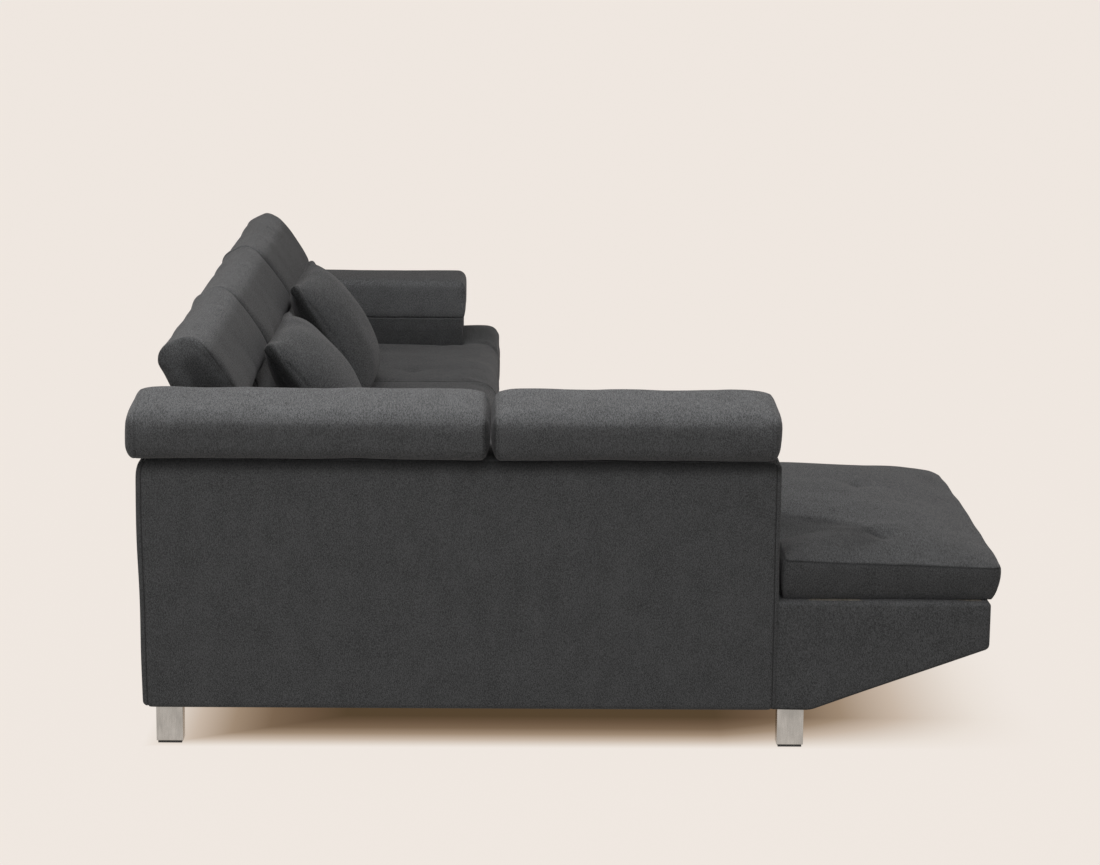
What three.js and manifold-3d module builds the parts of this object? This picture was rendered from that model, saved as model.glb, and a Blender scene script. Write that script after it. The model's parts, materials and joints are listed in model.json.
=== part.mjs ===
// Sectional sofa with chaise.
// x runs along the sofa from the outer face of the chaise side, forward is -y from the
// back face, and z is up from the floor. The last lines move the origin to the middle
// of the footprint. All lengths are in millimetres, angles in degrees.

import * as THREE from "three";
import { mergeVertices } from "three/addons/utils/BufferGeometryUtils.js";
import Module from "manifold-3d";

const wasm = await Module();
wasm.setup();

// Overall sizes
const length = 2648;
const chaiseWidth = 984;
const moduleGap = 6;
const sofaDepth = 703;
const chaiseDepth = 1718;

// Heights of the layers
const legHeight = 80;
const gliderHeight = 5;
const baseTop = 306;
const seamHeight = 390;
const crownHeight = 440;
const sofaCrownHeight = 446;
const wallTop = 590;
const armTop = 494;

// Upholstered walls
const sideThickness = 190;
const sideSetback = 445;
const sideDepth = chaiseDepth - sideSetback;
const backThickness = 152;
const armThickness = 216;
const armSetback = 103;
const armDepth = sofaDepth - armSetback;
const foam = 25;
const wallEdge = 12;
const wallFoot = 22;
const wallNose = 30;
const clearance = 0.5;
const seatGap = 3;

// Timber inside the walls and the base
const frameFit = 0.5;
const timber = 30;
const railDepth = 70;
const postSpacing = 420;

// Base under the seat
const baseSkin = 14;
const noseHeight = 209;
const chaiseHeelSetback = 359;
const sofaHeelSetback = 170;
const heelRound = 30;
const hatchBorder = 60;
const chaiseFrontOverhang = 22;
const sofaFrontOverhang = 12;
const baseSideInset = 8;
const clothThickness = 2;
const webbing = 3;
const webbingStrap = 50;
const webbingPitch = 190;

// Pads on top of the walls
const padThickness = 100;
const padLift = 6;
const padWidth = 201;
const pivotInset = 40;
const pivotHeight = 35;
const sideOverhang = 20;
const rearPadStart = -22;
const rearPadShare = 0.5607;
const sidePadGap = 10;
const frontPadSetback = 8;
const sidePadsLength = sideDepth - frontPadSetback - rearPadStart - sidePadGap;
const rearPadLength = rearPadShare * sidePadsLength;
const frontPadLength = sidePadsLength - rearPadLength;
const frontPadStart = rearPadStart + rearPadLength + sidePadGap;
const headrestSideGap = 79;
const headrestArmGap = 15;
const headrestGap = 3;
const headrestPastSeam = 1;
const sofaHeadrestCount = 2;
const headrestPivot = 98;
const headrestAngle = 64;
const armPadThickness = 105;
const armPadStart = 185;
const armPadFrontOverhang = 9;
const armPadLength = armDepth + armPadFrontOverhang - armPadStart;
const armPadOverhang = 16;
const armPadWidth = armThickness + armPadOverhang;
const padCorner = 38;
const padTopEase = 3;
const padFoot = 22;
const padBrow = 34;
const padBrowDrop = 17;
const armBrowDrop = 2;
const padDome = 6;
const padSeam = 16;
const padEndRoll = 5;
const padShoulder = 64;
const padEndTuck = 15;
const sideCrown = 12;
const headrestCrown = 17;
const armCrown = 3;
const shoulderShare = 0.75;

// Friction hinges
const rodRadius = 6;
const eyeRadius = 12;
const eyeBore = 6.5;
const bladeThickness = 5;
const armPlate = 4;
const armReach = 110;
const armHalfWidth = 12;
const hingeInset = 95;
const plateGap = 2;
const slotClearance = 1.5;
const armFit = 0.4;
const stripThickness = 4;
const stripWidth = 24;
const holeMargin = 6;

// Seat cushions
const cushionCorner = 64;
const nearCorner = 24;
const cushionSideInset = 6;
const cushionWallGap = 10;
const cushionGrid = 115;
const cushionRim = 24;
const sideDraw = 3;
const footDraw = 8;
const chaiseCrown = { run: 340, fullness: 1, rise: crownHeight - seamHeight };
const sofaCrown = { run: 50, fullness: 0.5, rise: sofaCrownHeight - seamHeight };
const chaiseDroop = 14;
const tuftDepth = 15;
const tuftSpread = 55;
const tuftReach = 130;
const chaiseTuftFromFront = 233;
const tuftFromFront = 223;
const chaiseTuftInset = 129;
const chaiseTuftSpacing = 452;
const farTuftInset = 182;
const creaseDepth = 5;
const creaseHalfWidth = 26;

// Legs
const legDepth = 54;
const legWidth = 37;
const rearLegSetback = 20;
const chaiseLegToHeel = 8;
const sofaLegToHeel = 27;
const legSideInset = 28;
const chaiseFrontLegInset = 20;
const legEdge = 1.5;
const glideInset = 3;

// Throw pillows
const pillowWidth = 430;
const pillowHeight = 350;
const pillowThickness = 158;
const pillowPuffShare = 0.45;
const pillowDrawShare = 0.07;
const nearPillowFromSeam = 159;
const nearPillowFromBack = 155;
const nearPillowRise = 149.4;
const nearPillowAngle = 33;
const farPillowFromSeam = 111;
const farPillowFromBack = 150;
const farPillowRise = 156.8;
const farPillowAngle = 30;

// Module connectors
const connectorLength = 120;
const connectorHeight = 60;
const connectorPlate = 2.7;
const connectorDrop = 40;

// Turns in degrees, and how finely round shapes are drawn
const quarterTurn = 90;
const halfTurn = 180;
const cornerSteps = 4;
const edgeSteps = 2;
const domeSteps = 4;
const rodSides = 16;
const eyeSteps = 8;
const pillowCellCount = 10;
const weldDistance = 1e-4;

// Finishes
const fabric = { color: 0x3c3c3e, roughness: 0.95, metalness: 0 };
const liningCloth = { color: 0x1c1c1d, roughness: 0.95, metalness: 0 };
const pine = { color: 0xc59a63, roughness: 0.7, metalness: 0 };
const strapping = { color: 0x8b8475, roughness: 0.9, metalness: 0 };
const steel = { color: 0x8f9194, roughness: 0.4, metalness: 0.9 };
const brushed = { color: 0xb4b2ae, roughness: 0.35, metalness: 0.95 };
const plastic = { color: 0x18181a, roughness: 0.6, metalness: 0 };

const sofa = new THREE.Group();
const workshop = new THREE.Group();
sofa.add(workshop);

function addPiece(name, geometry, finish, parent = workshop) {
  const mesh = new THREE.Mesh(geometry, new THREE.MeshStandardMaterial(finish));
  mesh.name = name;
  parent.add(mesh);
  return mesh;
}

// Solids and booleans

function toSolid(geometry) {
  const bare = geometry.clone();
  bare.deleteAttribute("normal");
  bare.deleteAttribute("uv");
  const merged = mergeVertices(bare, weldDistance);
  const vertProperties = new Float32Array(merged.attributes.position.array);
  const triVerts = new Uint32Array(merged.index.array);
  return new wasm.Manifold(new wasm.Mesh({ numProp: 3, vertProperties, triVerts }));
}

function toGeometry(solid) {
  const mesh = solid.getMesh();
  const geometry = new THREE.BufferGeometry();
  const points = new Float32Array(mesh.vertProperties);
  geometry.setAttribute("position", new THREE.BufferAttribute(points, 3));
  geometry.setIndex(new THREE.BufferAttribute(new Uint32Array(mesh.triVerts), 1));
  geometry.computeVertexNormals();
  return geometry;
}

function cut(geometry, cutters) {
  let solid = toSolid(geometry);
  for (const cutter of cutters) {
    solid = solid.subtract(toSolid(cutter));
  }
  return toGeometry(solid);
}

function join(geometries) {
  let solid = toSolid(geometries[0]);
  for (const other of geometries.slice(1)) {
    solid = solid.add(toSolid(other));
  }
  return toGeometry(solid);
}

function block(x0, x1, s0, s1, z0, z1) {
  const box = new THREE.BoxGeometry(x1 - x0, s1 - s0, z1 - z0);
  box.translate((x0 + x1) / 2, -(s0 + s1) / 2, (z0 + z1) / 2);
  return box;
}

// Turns [along, up] points into a shape with rounded corners, one radius per corner.
function roundedShape(corners) {
  const shape = new THREE.Shape();
  const count = corners.length;
  corners.forEach(([x, y, radius], i) => {
    const here = new THREE.Vector2(x, y);
    const before = new THREE.Vector2(...corners[(i + count - 1) % count].slice(0, 2));
    const after = new THREE.Vector2(...corners[(i + 1) % count].slice(0, 2));
    const start = here.clone().add(before.sub(here).setLength(radius));
    const end = here.clone().add(after.sub(here).setLength(radius));
    if (i === 0) {
      shape.moveTo(start.x, start.y);
    } else {
      shape.lineTo(start.x, start.y);
    }
    if (radius > 0) {
      shape.quadraticCurveTo(x, y, end.x, end.y);
    }
  });
  shape.closePath();
  return shape;
}

// A side outline of [s, z, radius] corners, carried along x from x0 to x1.
function sideExtrude(corners, x0, x1, edge = 0) {
  const geometry = new THREE.ExtrudeGeometry(roundedShape(corners), {
    depth: x1 - x0 - 2 * edge,
    bevelEnabled: edge > 0,
    bevelThickness: edge,
    bevelSize: edge,
    bevelOffset: -edge,
    bevelSegments: edgeSteps,
    curveSegments: cornerSteps,
  });
  const axes = new THREE.Matrix4().makeBasis(
    new THREE.Vector3(0, -1, 0),
    new THREE.Vector3(0, 0, 1),
    new THREE.Vector3(-1, 0, 0),
  );
  geometry.applyMatrix4(axes);
  geometry.translate(x1 - edge, 0, 0);
  return geometry;
}

// Places that the walls, pads and hinges share

const wallBottom = legHeight + gliderHeight;
const sofaStart = chaiseWidth + moduleGap;
const armStart = length - armThickness;
const padBottom = wallTop + padLift;
const armPadBottom = armTop + padLift;
const sideWall = { x0: 0, x1: sideThickness, s0: 0, s1: sideDepth, top: wallTop };
const chaiseBack = {
  x0: sideThickness + clearance, x1: chaiseWidth, s0: 0, s1: backThickness, top: wallTop,
};
const sofaBack = { x0: sofaStart, x1: length, s0: 0, s1: backThickness, top: wallTop };
const armWall = {
  x0: armStart, x1: length, s0: backThickness + clearance, s1: armDepth, top: armTop,
};

// Each pad has its own frame: u away from the hinge, v up from it, and y along the pad.
// axis is the world place of the hinge line, turn faces u outwards from the wall.
const sidePadAxis = [padWidth - pivotInset - sideOverhang, 0, padBottom + pivotHeight];
const pads = [
  {
    name: "side_pad_rear", axis: sidePadAxis,
    turn: halfTurn, angle: 0, start: rearPadStart, span: rearPadLength,
    thickness: padThickness, width: padWidth, wall: sideWall,
    browDrop: padBrowDrop, crown: sideCrown,
  },
  {
    name: "side_pad_front", axis: sidePadAxis,
    turn: halfTurn, angle: 0, start: frontPadStart, span: frontPadLength,
    thickness: padThickness, width: padWidth, wall: sideWall,
    browDrop: padBrowDrop, crown: sideCrown,
  },
  {
    name: "arm_pad", axis: [armStart + pivotInset, 0, armPadBottom + pivotHeight],
    turn: 0, angle: 0, start: -armPadStart - armPadLength, span: armPadLength,
    thickness: armPadThickness, width: armPadWidth, wall: armWall,
    browDrop: armBrowDrop, crown: armCrown,
  },
];

// One headrest on the chaise's back and two that share the sofa's back.
function addHeadrest(name, near, far, wall) {
  pads.push({
    name, axis: [0, -headrestPivot, padBottom + pivotHeight],
    turn: quarterTurn, angle: headrestAngle, start: -far, span: far - near,
    thickness: padThickness, width: padWidth, wall,
    browDrop: padBrowDrop, crown: headrestCrown,
  });
}

const chaiseHeadrestEnd = chaiseWidth - headrestPastSeam;
addHeadrest("headrest_1", sideThickness + headrestSideGap, chaiseHeadrestEnd, chaiseBack);
const sofaHeadrestStart = chaiseHeadrestEnd + headrestGap;
const sofaHeadrestEnd = armStart - headrestArmGap;
const sofaHeadrestPitch = (sofaHeadrestEnd + headrestGap - sofaHeadrestStart) / sofaHeadrestCount;
for (let i = 0; i < sofaHeadrestCount; i += 1) {
  const near = sofaHeadrestStart + i * sofaHeadrestPitch;
  addHeadrest(`headrest_${i + 2}`, near, near + sofaHeadrestPitch - headrestGap, sofaBack);
}

// Distance along a pad, from its start, to the two hinge blades.
function bladePlaces(pad) {
  return [pad.start + hingeInset, pad.start + pad.span - hingeInset - bladeThickness];
}

function padGroup(pad, angle) {
  const group = new THREE.Group();
  group.position.set(...pad.axis);
  group.rotation.z = THREE.MathUtils.degToRad(pad.turn);
  const tilt = new THREE.Group();
  tilt.rotation.y = -THREE.MathUtils.degToRad(angle);
  group.add(tilt);
  workshop.add(group);
  return tilt;
}

// Section of a pad as points [u, v, share] round the outline. Its top is domed and falls
// to the outer edge. share is how much of the crown a point takes in the middle of the pad.
function padSection(pad) {
  const low = -pivotHeight;
  const high = pad.thickness - pivotHeight;
  const inner = -pivotInset;
  const outer = pad.width - pivotInset;
  const top = padCorner + padTopEase;
  const brow = high - pad.browDrop;
  const corners = [
    [outer - padFoot, low + padFoot, padFoot, 0],
    [outer - padBrow, brow - padBrow, padBrow, 0],
    [inner + top, high - top, top, 1],
    [inner + padCorner, low + padCorner, padCorner, 0],
  ];
  const points = [];
  for (const [i, [u, v, radius, share]] of corners.entries()) {
    for (let k = 0; k <= cornerSteps; k += 1) {
      const angle = THREE.MathUtils.degToRad(quarterTurn * (i - 1 + k / cornerSteps));
      points.push([u + radius * Math.cos(angle), v + radius * Math.sin(angle), share]);
    }
    if (i === 1) {
      const run = (inner + top) - u;
      for (let k = 1; k < domeSteps; k += 1) {
        const across = k / domeSteps;
        const dome = padDome * Math.sin(Math.PI * across);
        points.push([u + across * run, brow + across * pad.browDrop + dome, across]);
      }
    }
  }
  return points;
}

// A closed loft through rings of equal count, with a flat cap at each end.
function loft(rings) {
  const count = rings[0].length;
  const positions = rings.flat(2);
  const index = [];
  for (let r = 0; r + 1 < rings.length; r += 1) {
    for (let i = 0; i < count; i += 1) {
      const a = r * count + i;
      const b = r * count + ((i + 1) % count);
      index.push(a, a + count, b, b, a + count, b + count);
    }
  }
  const last = (rings.length - 1) * count;
  for (let i = 1; i + 1 < count; i += 1) {
    index.push(0, i, i + 1);
    index.push(last, last + i + 1, last + i);
  }
  const geometry = new THREE.BufferGeometry();
  geometry.setAttribute("position", new THREE.Float32BufferAttribute(positions, 3));
  geometry.setIndex(index);
  geometry.computeVertexNormals();
  return geometry;
}

function padFoam(pad) {
  const section = padSection(pad);
  const middle = [(pad.width / 2) - pivotInset, (pad.thickness / 2) - pivotHeight];
  const half = pad.span / 2;
  const ends = [
    [0, padEndTuck], [padEndRoll, padEndTuck / 2], [padSeam, 0],
    [padShoulder, -shoulderShare * pad.crown],
  ];
  const stations = [
    ...ends,
    [half, -pad.crown],
    ...ends.slice().reverse().map(([place, tuck]) => [pad.span - place, tuck]),
  ];
  const rings = stations.map(([place, tuck]) => section.map(([u, v, share]) => {
    const shrinkU = 1 - (2 * Math.max(tuck, 0)) / pad.width;
    const shrinkV = 1 - (2 * Math.max(tuck, 0)) / pad.thickness;
    const rise = v > middle[1] ? share * Math.max(-tuck, 0) : 0;
    return [
      middle[0] + (u - middle[0]) * shrinkU,
      pad.start + place,
      middle[1] + (v - middle[1]) * shrinkV + rise,
    ];
  }));
  return loft(rings);
}

// The free space that a blade, its arm and the rod need inside the pad.
function padPockets(pad) {
  const pockets = [];
  const wide = eyeRadius + slotClearance;
  const deep = pad.thickness + pad.width;
  const places = bladePlaces(pad);
  places.forEach((place, i) => {
    const bladeRoom = new THREE.Shape();
    bladeRoom.moveTo(wide, -deep);
    bladeRoom.lineTo(wide, 0);
    bladeRoom.absarc(0, 0, wide, 0, Math.PI / 2, false);
    bladeRoom.lineTo(-deep, wide);
    bladeRoom.lineTo(-deep, -deep);
    const slot = new THREE.ExtrudeGeometry(bladeRoom, {
      depth: bladeThickness + 2 * slotClearance, bevelEnabled: false, curveSegments: cornerSteps,
    });
    slot.rotateX(Math.PI / 2);
    slot.translate(0, place + bladeThickness + slotClearance, 0);
    pockets.push(slot);
    const [from, to] = armSpan(place, i);
    const plateRoom = to - from + 2 * plateGap;
    const room = new THREE.BoxGeometry(
      armReach + armHalfWidth + 2 * armFit,
      plateRoom,
      2 * (armHalfWidth + armFit),
    );
    room.translate((armReach - armHalfWidth) / 2, (from + to) / 2, 0);
    pockets.push(room);
  });
  pockets.push(rodGeometry(pad, rodRadius + armFit));
  return pockets;
}

// The arm plate stands beside its blade, towards the end of the pad.
function armSpan(place, side) {
  if (side === 0) {
    return [place - plateGap - armPlate, place - plateGap];
  }
  return [place + bladeThickness + plateGap, place + bladeThickness + plateGap + armPlate];
}

function rodGeometry(pad, radius) {
  const places = bladePlaces(pad);
  const from = armSpan(places[0], 0)[0];
  const to = armSpan(places[1], 1)[1];
  const rod = new THREE.CylinderGeometry(radius, radius, to - from, rodSides);
  rod.translate(0, (from + to) / 2, 0);
  return rod;
}

function hingeFrame(pad) {
  const plates = bladePlaces(pad).map((place, i) => {
    const [from, to] = armSpan(place, i);
    const plate = new THREE.BoxGeometry(armReach + armHalfWidth, to - from, 2 * armHalfWidth);
    plate.translate((armReach - armHalfWidth) / 2, (from + to) / 2, 0);
    return plate;
  });
  return join([rodGeometry(pad, rodRadius), ...plates]);
}

// The fixed half: a strip on the top rail and two blades with an eye for the rod.
function hingeBracket(pad) {
  const stripTop = pad.wall.top - foam - clearance - pad.axis[2];
  const stripBottom = stripTop - stripThickness;
  const [first, second] = bladePlaces(pad);
  const strip = new THREE.BoxGeometry(stripWidth, second - first + bladeThickness, stripThickness);
  strip.translate(0, (first + second + bladeThickness) / 2, (stripTop + stripBottom) / 2);
  const blades = [first, second].map((place) => {
    const outline = new THREE.Shape();
    outline.moveTo(-eyeRadius, stripBottom);
    outline.lineTo(eyeRadius, stripBottom);
    outline.lineTo(eyeRadius, 0);
    outline.absarc(0, 0, eyeRadius, 0, Math.PI, false);
    const eye = new THREE.Path();
    eye.absarc(0, 0, eyeBore, 0, Math.PI * 2, true);
    outline.holes.push(eye);
    const blade = new THREE.ExtrudeGeometry(outline, {
      depth: bladeThickness, bevelEnabled: false, curveSegments: eyeSteps,
    });
    blade.rotateX(Math.PI / 2);
    blade.translate(0, place + bladeThickness, 0);
    return blade;
  });
  return join([strip, ...blades]);
}

// Openings in a wall cover for the blades of its pads.
function bladeOpenings(wall) {
  const openings = [];
  for (const pad of pads.filter((one) => one.wall === wall)) {
    for (const place of bladePlaces(pad)) {
      const hole = new THREE.BoxGeometry(
        2 * (eyeRadius + holeMargin),
        bladeThickness + 2 * holeMargin,
        2 * foam,
      );
      hole.translate(0, place + bladeThickness / 2, 0);
      hole.rotateZ(THREE.MathUtils.degToRad(pad.turn));
      hole.translate(pad.axis[0], pad.axis[1], wall.top - foam / 2);
      openings.push(hole);
    }
  }
  return openings;
}

// Padded wall covers and the timber that they are pulled over

function wallCover(wall) {
  const outside = sideExtrude([
    [wall.s0, wallBottom, wallFoot],
    [wall.s1, wallBottom, wallFoot],
    [wall.s1, wall.top, wallNose],
    [wall.s0, wall.top, wallNose],
  ], wall.x0, wall.x1, wallEdge);
  const hollow = block(
    wall.x0 + foam, wall.x1 - foam,
    wall.s0 + foam, wall.s1 - foam,
    wallBottom - foam, wall.top - foam,
  );
  return cut(outside, [hollow, ...bladeOpenings(wall)]);
}

// A box frame of rails and posts, open between them.
function wallFrame(wall) {
  const x0 = wall.x0 + foam + frameFit;
  const x1 = wall.x1 - foam - frameFit;
  const s0 = wall.s0 + foam + frameFit;
  const s1 = wall.s1 - foam - frameFit;
  const top = wall.top - foam - clearance - stripThickness - clearance;
  const body = block(x0, x1, s0, s1, wallBottom, top);
  const windows = [];
  const alongX = x1 - x0 > s1 - s0;
  const span = alongX ? x1 - x0 : s1 - s0;
  const bays = Math.max(1, Math.round(span / postSpacing));
  const pitch = (span - timber) / bays;
  for (let i = 0; i < bays; i += 1) {
    const from = (alongX ? x0 : s0) + timber + i * pitch;
    const to = from + pitch - timber;
    const sill = wallBottom + railDepth;
    if (alongX) {
      windows.push(block(from, to, s0 - timber, s1 + timber, sill, top - timber));
    } else {
      windows.push(block(x0 - timber, x1 + timber, from, to, sill, top - timber));
    }
  }
  return cut(body, windows);
}

addPiece("chaise_side_wall", wallCover(sideWall), fabric);
addPiece("chaise_side_frame", wallFrame(sideWall), pine);
addPiece("chaise_back_wall", wallCover(chaiseBack), fabric);
addPiece("chaise_back_frame", wallFrame(chaiseBack), pine);
addPiece("sofa_back_wall", wallCover(sofaBack), fabric);
addPiece("sofa_back_frame", wallFrame(sofaBack), pine);
addPiece("arm_wall", wallCover(armWall), fabric);
addPiece("arm_frame", wallFrame(armWall), pine);

for (const pad of pads) {
  const moving = padGroup(pad, pad.angle);
  addPiece(pad.name, cut(padFoam(pad), padPockets(pad)), fabric, moving);
  addPiece(`${pad.name}_hinge_frame`, hingeFrame(pad), steel, moving);
  addPiece(`${pad.name}_hinge_bracket`, hingeBracket(pad), steel, padGroup(pad, 0));
}

// Base under each seat: padded apron, rail frame, webbing and lining.
// corner is the plan rectangle that a wall takes out of the base.

const chaiseBase = {
  x0: baseSideInset, x1: chaiseWidth,
  s0: backThickness + clearance, s1: chaiseDepth - chaiseFrontOverhang,
  heel: chaiseHeelSetback,
  corner: { side: -1, x: sideThickness + clearance, s: sideDepth + clearance },
};
const sofaBase = {
  x0: sofaStart, x1: length,
  s0: backThickness + clearance, s1: sofaDepth - sofaFrontOverhang,
  heel: sofaHeelSetback,
  corner: { side: 1, x: armStart - clearance, s: armDepth + clearance },
};

// The plan rectangle of the wall, widened by a margin and tall enough to cut with.
function wallCorner(base, margin) {
  const { side, x, s } = base.corner;
  const far = side < 0 ? base.x0 - length : base.x1 + length;
  const near = x - side * margin;
  return block(
    Math.min(near, far), Math.max(near, far),
    base.s0 - sofaDepth, s + margin,
    -wallTop, wallTop,
  );
}

// The base as one block, drawn in by a margin all round, its underside swept up in front.
function baseBody(base, margin, top) {
  const floorLine = wallBottom + margin;
  const soft = margin > 0 ? 0 : 1;
  const profile = sideExtrude([
    [base.s0 + margin, floorLine, 0],
    [base.s1 - base.heel, floorLine, soft * heelRound],
    [base.s1 - margin, noseHeight + margin, soft * wallEdge],
    [base.s1 - margin, top, soft * wallEdge],
    [base.s0 + margin, top, 0],
  ], base.x0 + margin, base.x1 - margin);
  return cut(profile, [wallCorner(base, margin)]);
}

function hatchBox(base, margin, z0, z1) {
  const { side, x } = base.corner;
  const near = side < 0 ? x : base.x0;
  const far = side < 0 ? base.x1 : x;
  const edge = hatchBorder + margin;
  return block(near + edge, far - edge, base.s0 + edge, base.s1 - base.heel - edge, z0, z1);
}

function baseCover(base) {
  return cut(baseBody(base, 0, baseTop), [
    baseBody(base, baseSkin, baseTop + baseSkin),
    hatchBox(base, 0, wallBottom - baseSkin, wallBottom + 2 * baseSkin),
  ]);
}

function railFrame(base) {
  const outer = baseSkin + frameFit;
  const inner = outer + timber;
  const room = block(
    base.x0 + inner, base.x1 - inner, base.s0 + inner, base.s1 - inner,
    -wallTop, wallTop,
  );
  const top = baseTop - webbing - frameFit;
  return cut(baseBody(base, outer, top), [cut(room, [wallCorner(base, inner)])]);
}

// Flat woven straps, both ways, over the opening of the rail frame.
function springNet(base) {
  const edge = baseSkin + frameFit;
  const sheet = cut(
    block(base.x0 + edge, base.x1 - edge, base.s0 + edge, base.s1 - edge, baseTop - webbing, baseTop),
    [wallCorner(base, edge)],
  );
  const { side, x, s } = base.corner;
  const x0 = base.x0 + edge + webbingStrap;
  const x1 = base.x1 - edge - webbingStrap;
  const s0 = base.s0 + edge + webbingStrap;
  const s1 = base.s1 - edge - webbingStrap;
  const columns = Math.round((x1 - x0) / webbingPitch);
  const rows = Math.round((s1 - s0) / webbingPitch);
  const pitchX = (x1 - x0 + webbingStrap) / columns;
  const pitchS = (s1 - s0 + webbingStrap) / rows;
  const holes = [];
  for (let i = 0; i < columns; i += 1) {
    for (let j = 0; j < rows; j += 1) {
      const left = x0 + i * pitchX;
      const right = left + pitchX - webbingStrap;
      const rear = s0 + j * pitchS;
      const besideWall = side < 0 ? left > x + webbingStrap : right < x - webbingStrap;
      if (besideWall || rear > s + webbingStrap) {
        holes.push(block(
          left, right, rear, rear + pitchS - webbingStrap,
          baseTop - 2 * webbing, baseTop + webbing,
        ));
      }
    }
  }
  return cut(sheet, holes);
}

function dustCover(base) {
  return hatchBox(base, clearance, wallBottom + clearance, wallBottom + clearance + clothThickness);
}

for (const [prefix, base] of [["chaise", chaiseBase], ["sofa", sofaBase]]) {
  addPiece(`${prefix}_base_cover`, baseCover(base), fabric);
  addPiece(`${prefix}_base_frame`, railFrame(base), pine);
  addPiece(`${prefix}_spring_net`, springNet(base), strapping);
  addPiece(`${prefix}_dust_cover`, dustCover(base), liningCloth);
}

// Boxed seat cushions on a plan grid

// Sorted grid lines through every key, with no step longer than the given one.
function gridLines(keys, step) {
  const sorted = [...new Set(keys)].sort((a, b) => a - b);
  const lines = [sorted[0]];
  for (const key of sorted.slice(1)) {
    const from = lines[lines.length - 1];
    const parts = Math.max(1, Math.ceil((key - from) / step));
    for (let k = 1; k <= parts; k += 1) {
      lines.push(from + ((key - from) * k) / parts);
    }
  }
  return lines;
}

function distanceToOutline(x, s, outline) {
  let nearest = Infinity;
  outline.forEach(([ax, as], i) => {
    const [bx, bs] = outline[(i + 1) % outline.length];
    const run = (bx - ax) ** 2 + (bs - as) ** 2;
    const share = Math.min(1, Math.max(0, ((x - ax) * (bx - ax) + (s - as) * (bs - as)) / run));
    nearest = Math.min(nearest, Math.hypot(x - ax - share * (bx - ax), s - as - share * (bs - as)));
  });
  return nearest;
}

// Bends the square corner blocks of the grid into round ones.
function roundCorner(x, s, corners) {
  for (const [cx, cs, dx, ds, radius] of corners) {
    const a = (dx * (cx + dx * radius - x)) / radius;
    const b = (ds * (cs + ds * radius - s)) / radius;
    if (a > 0 && b > 0 && a <= 1 && b <= 1) {
      return [
        cx + dx * radius * (1 - a * Math.sqrt(1 - (b * b) / 2)),
        cs + ds * radius * (1 - b * Math.sqrt(1 - (a * a) / 2)),
      ];
    }
  }
  return [x, s];
}

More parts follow.
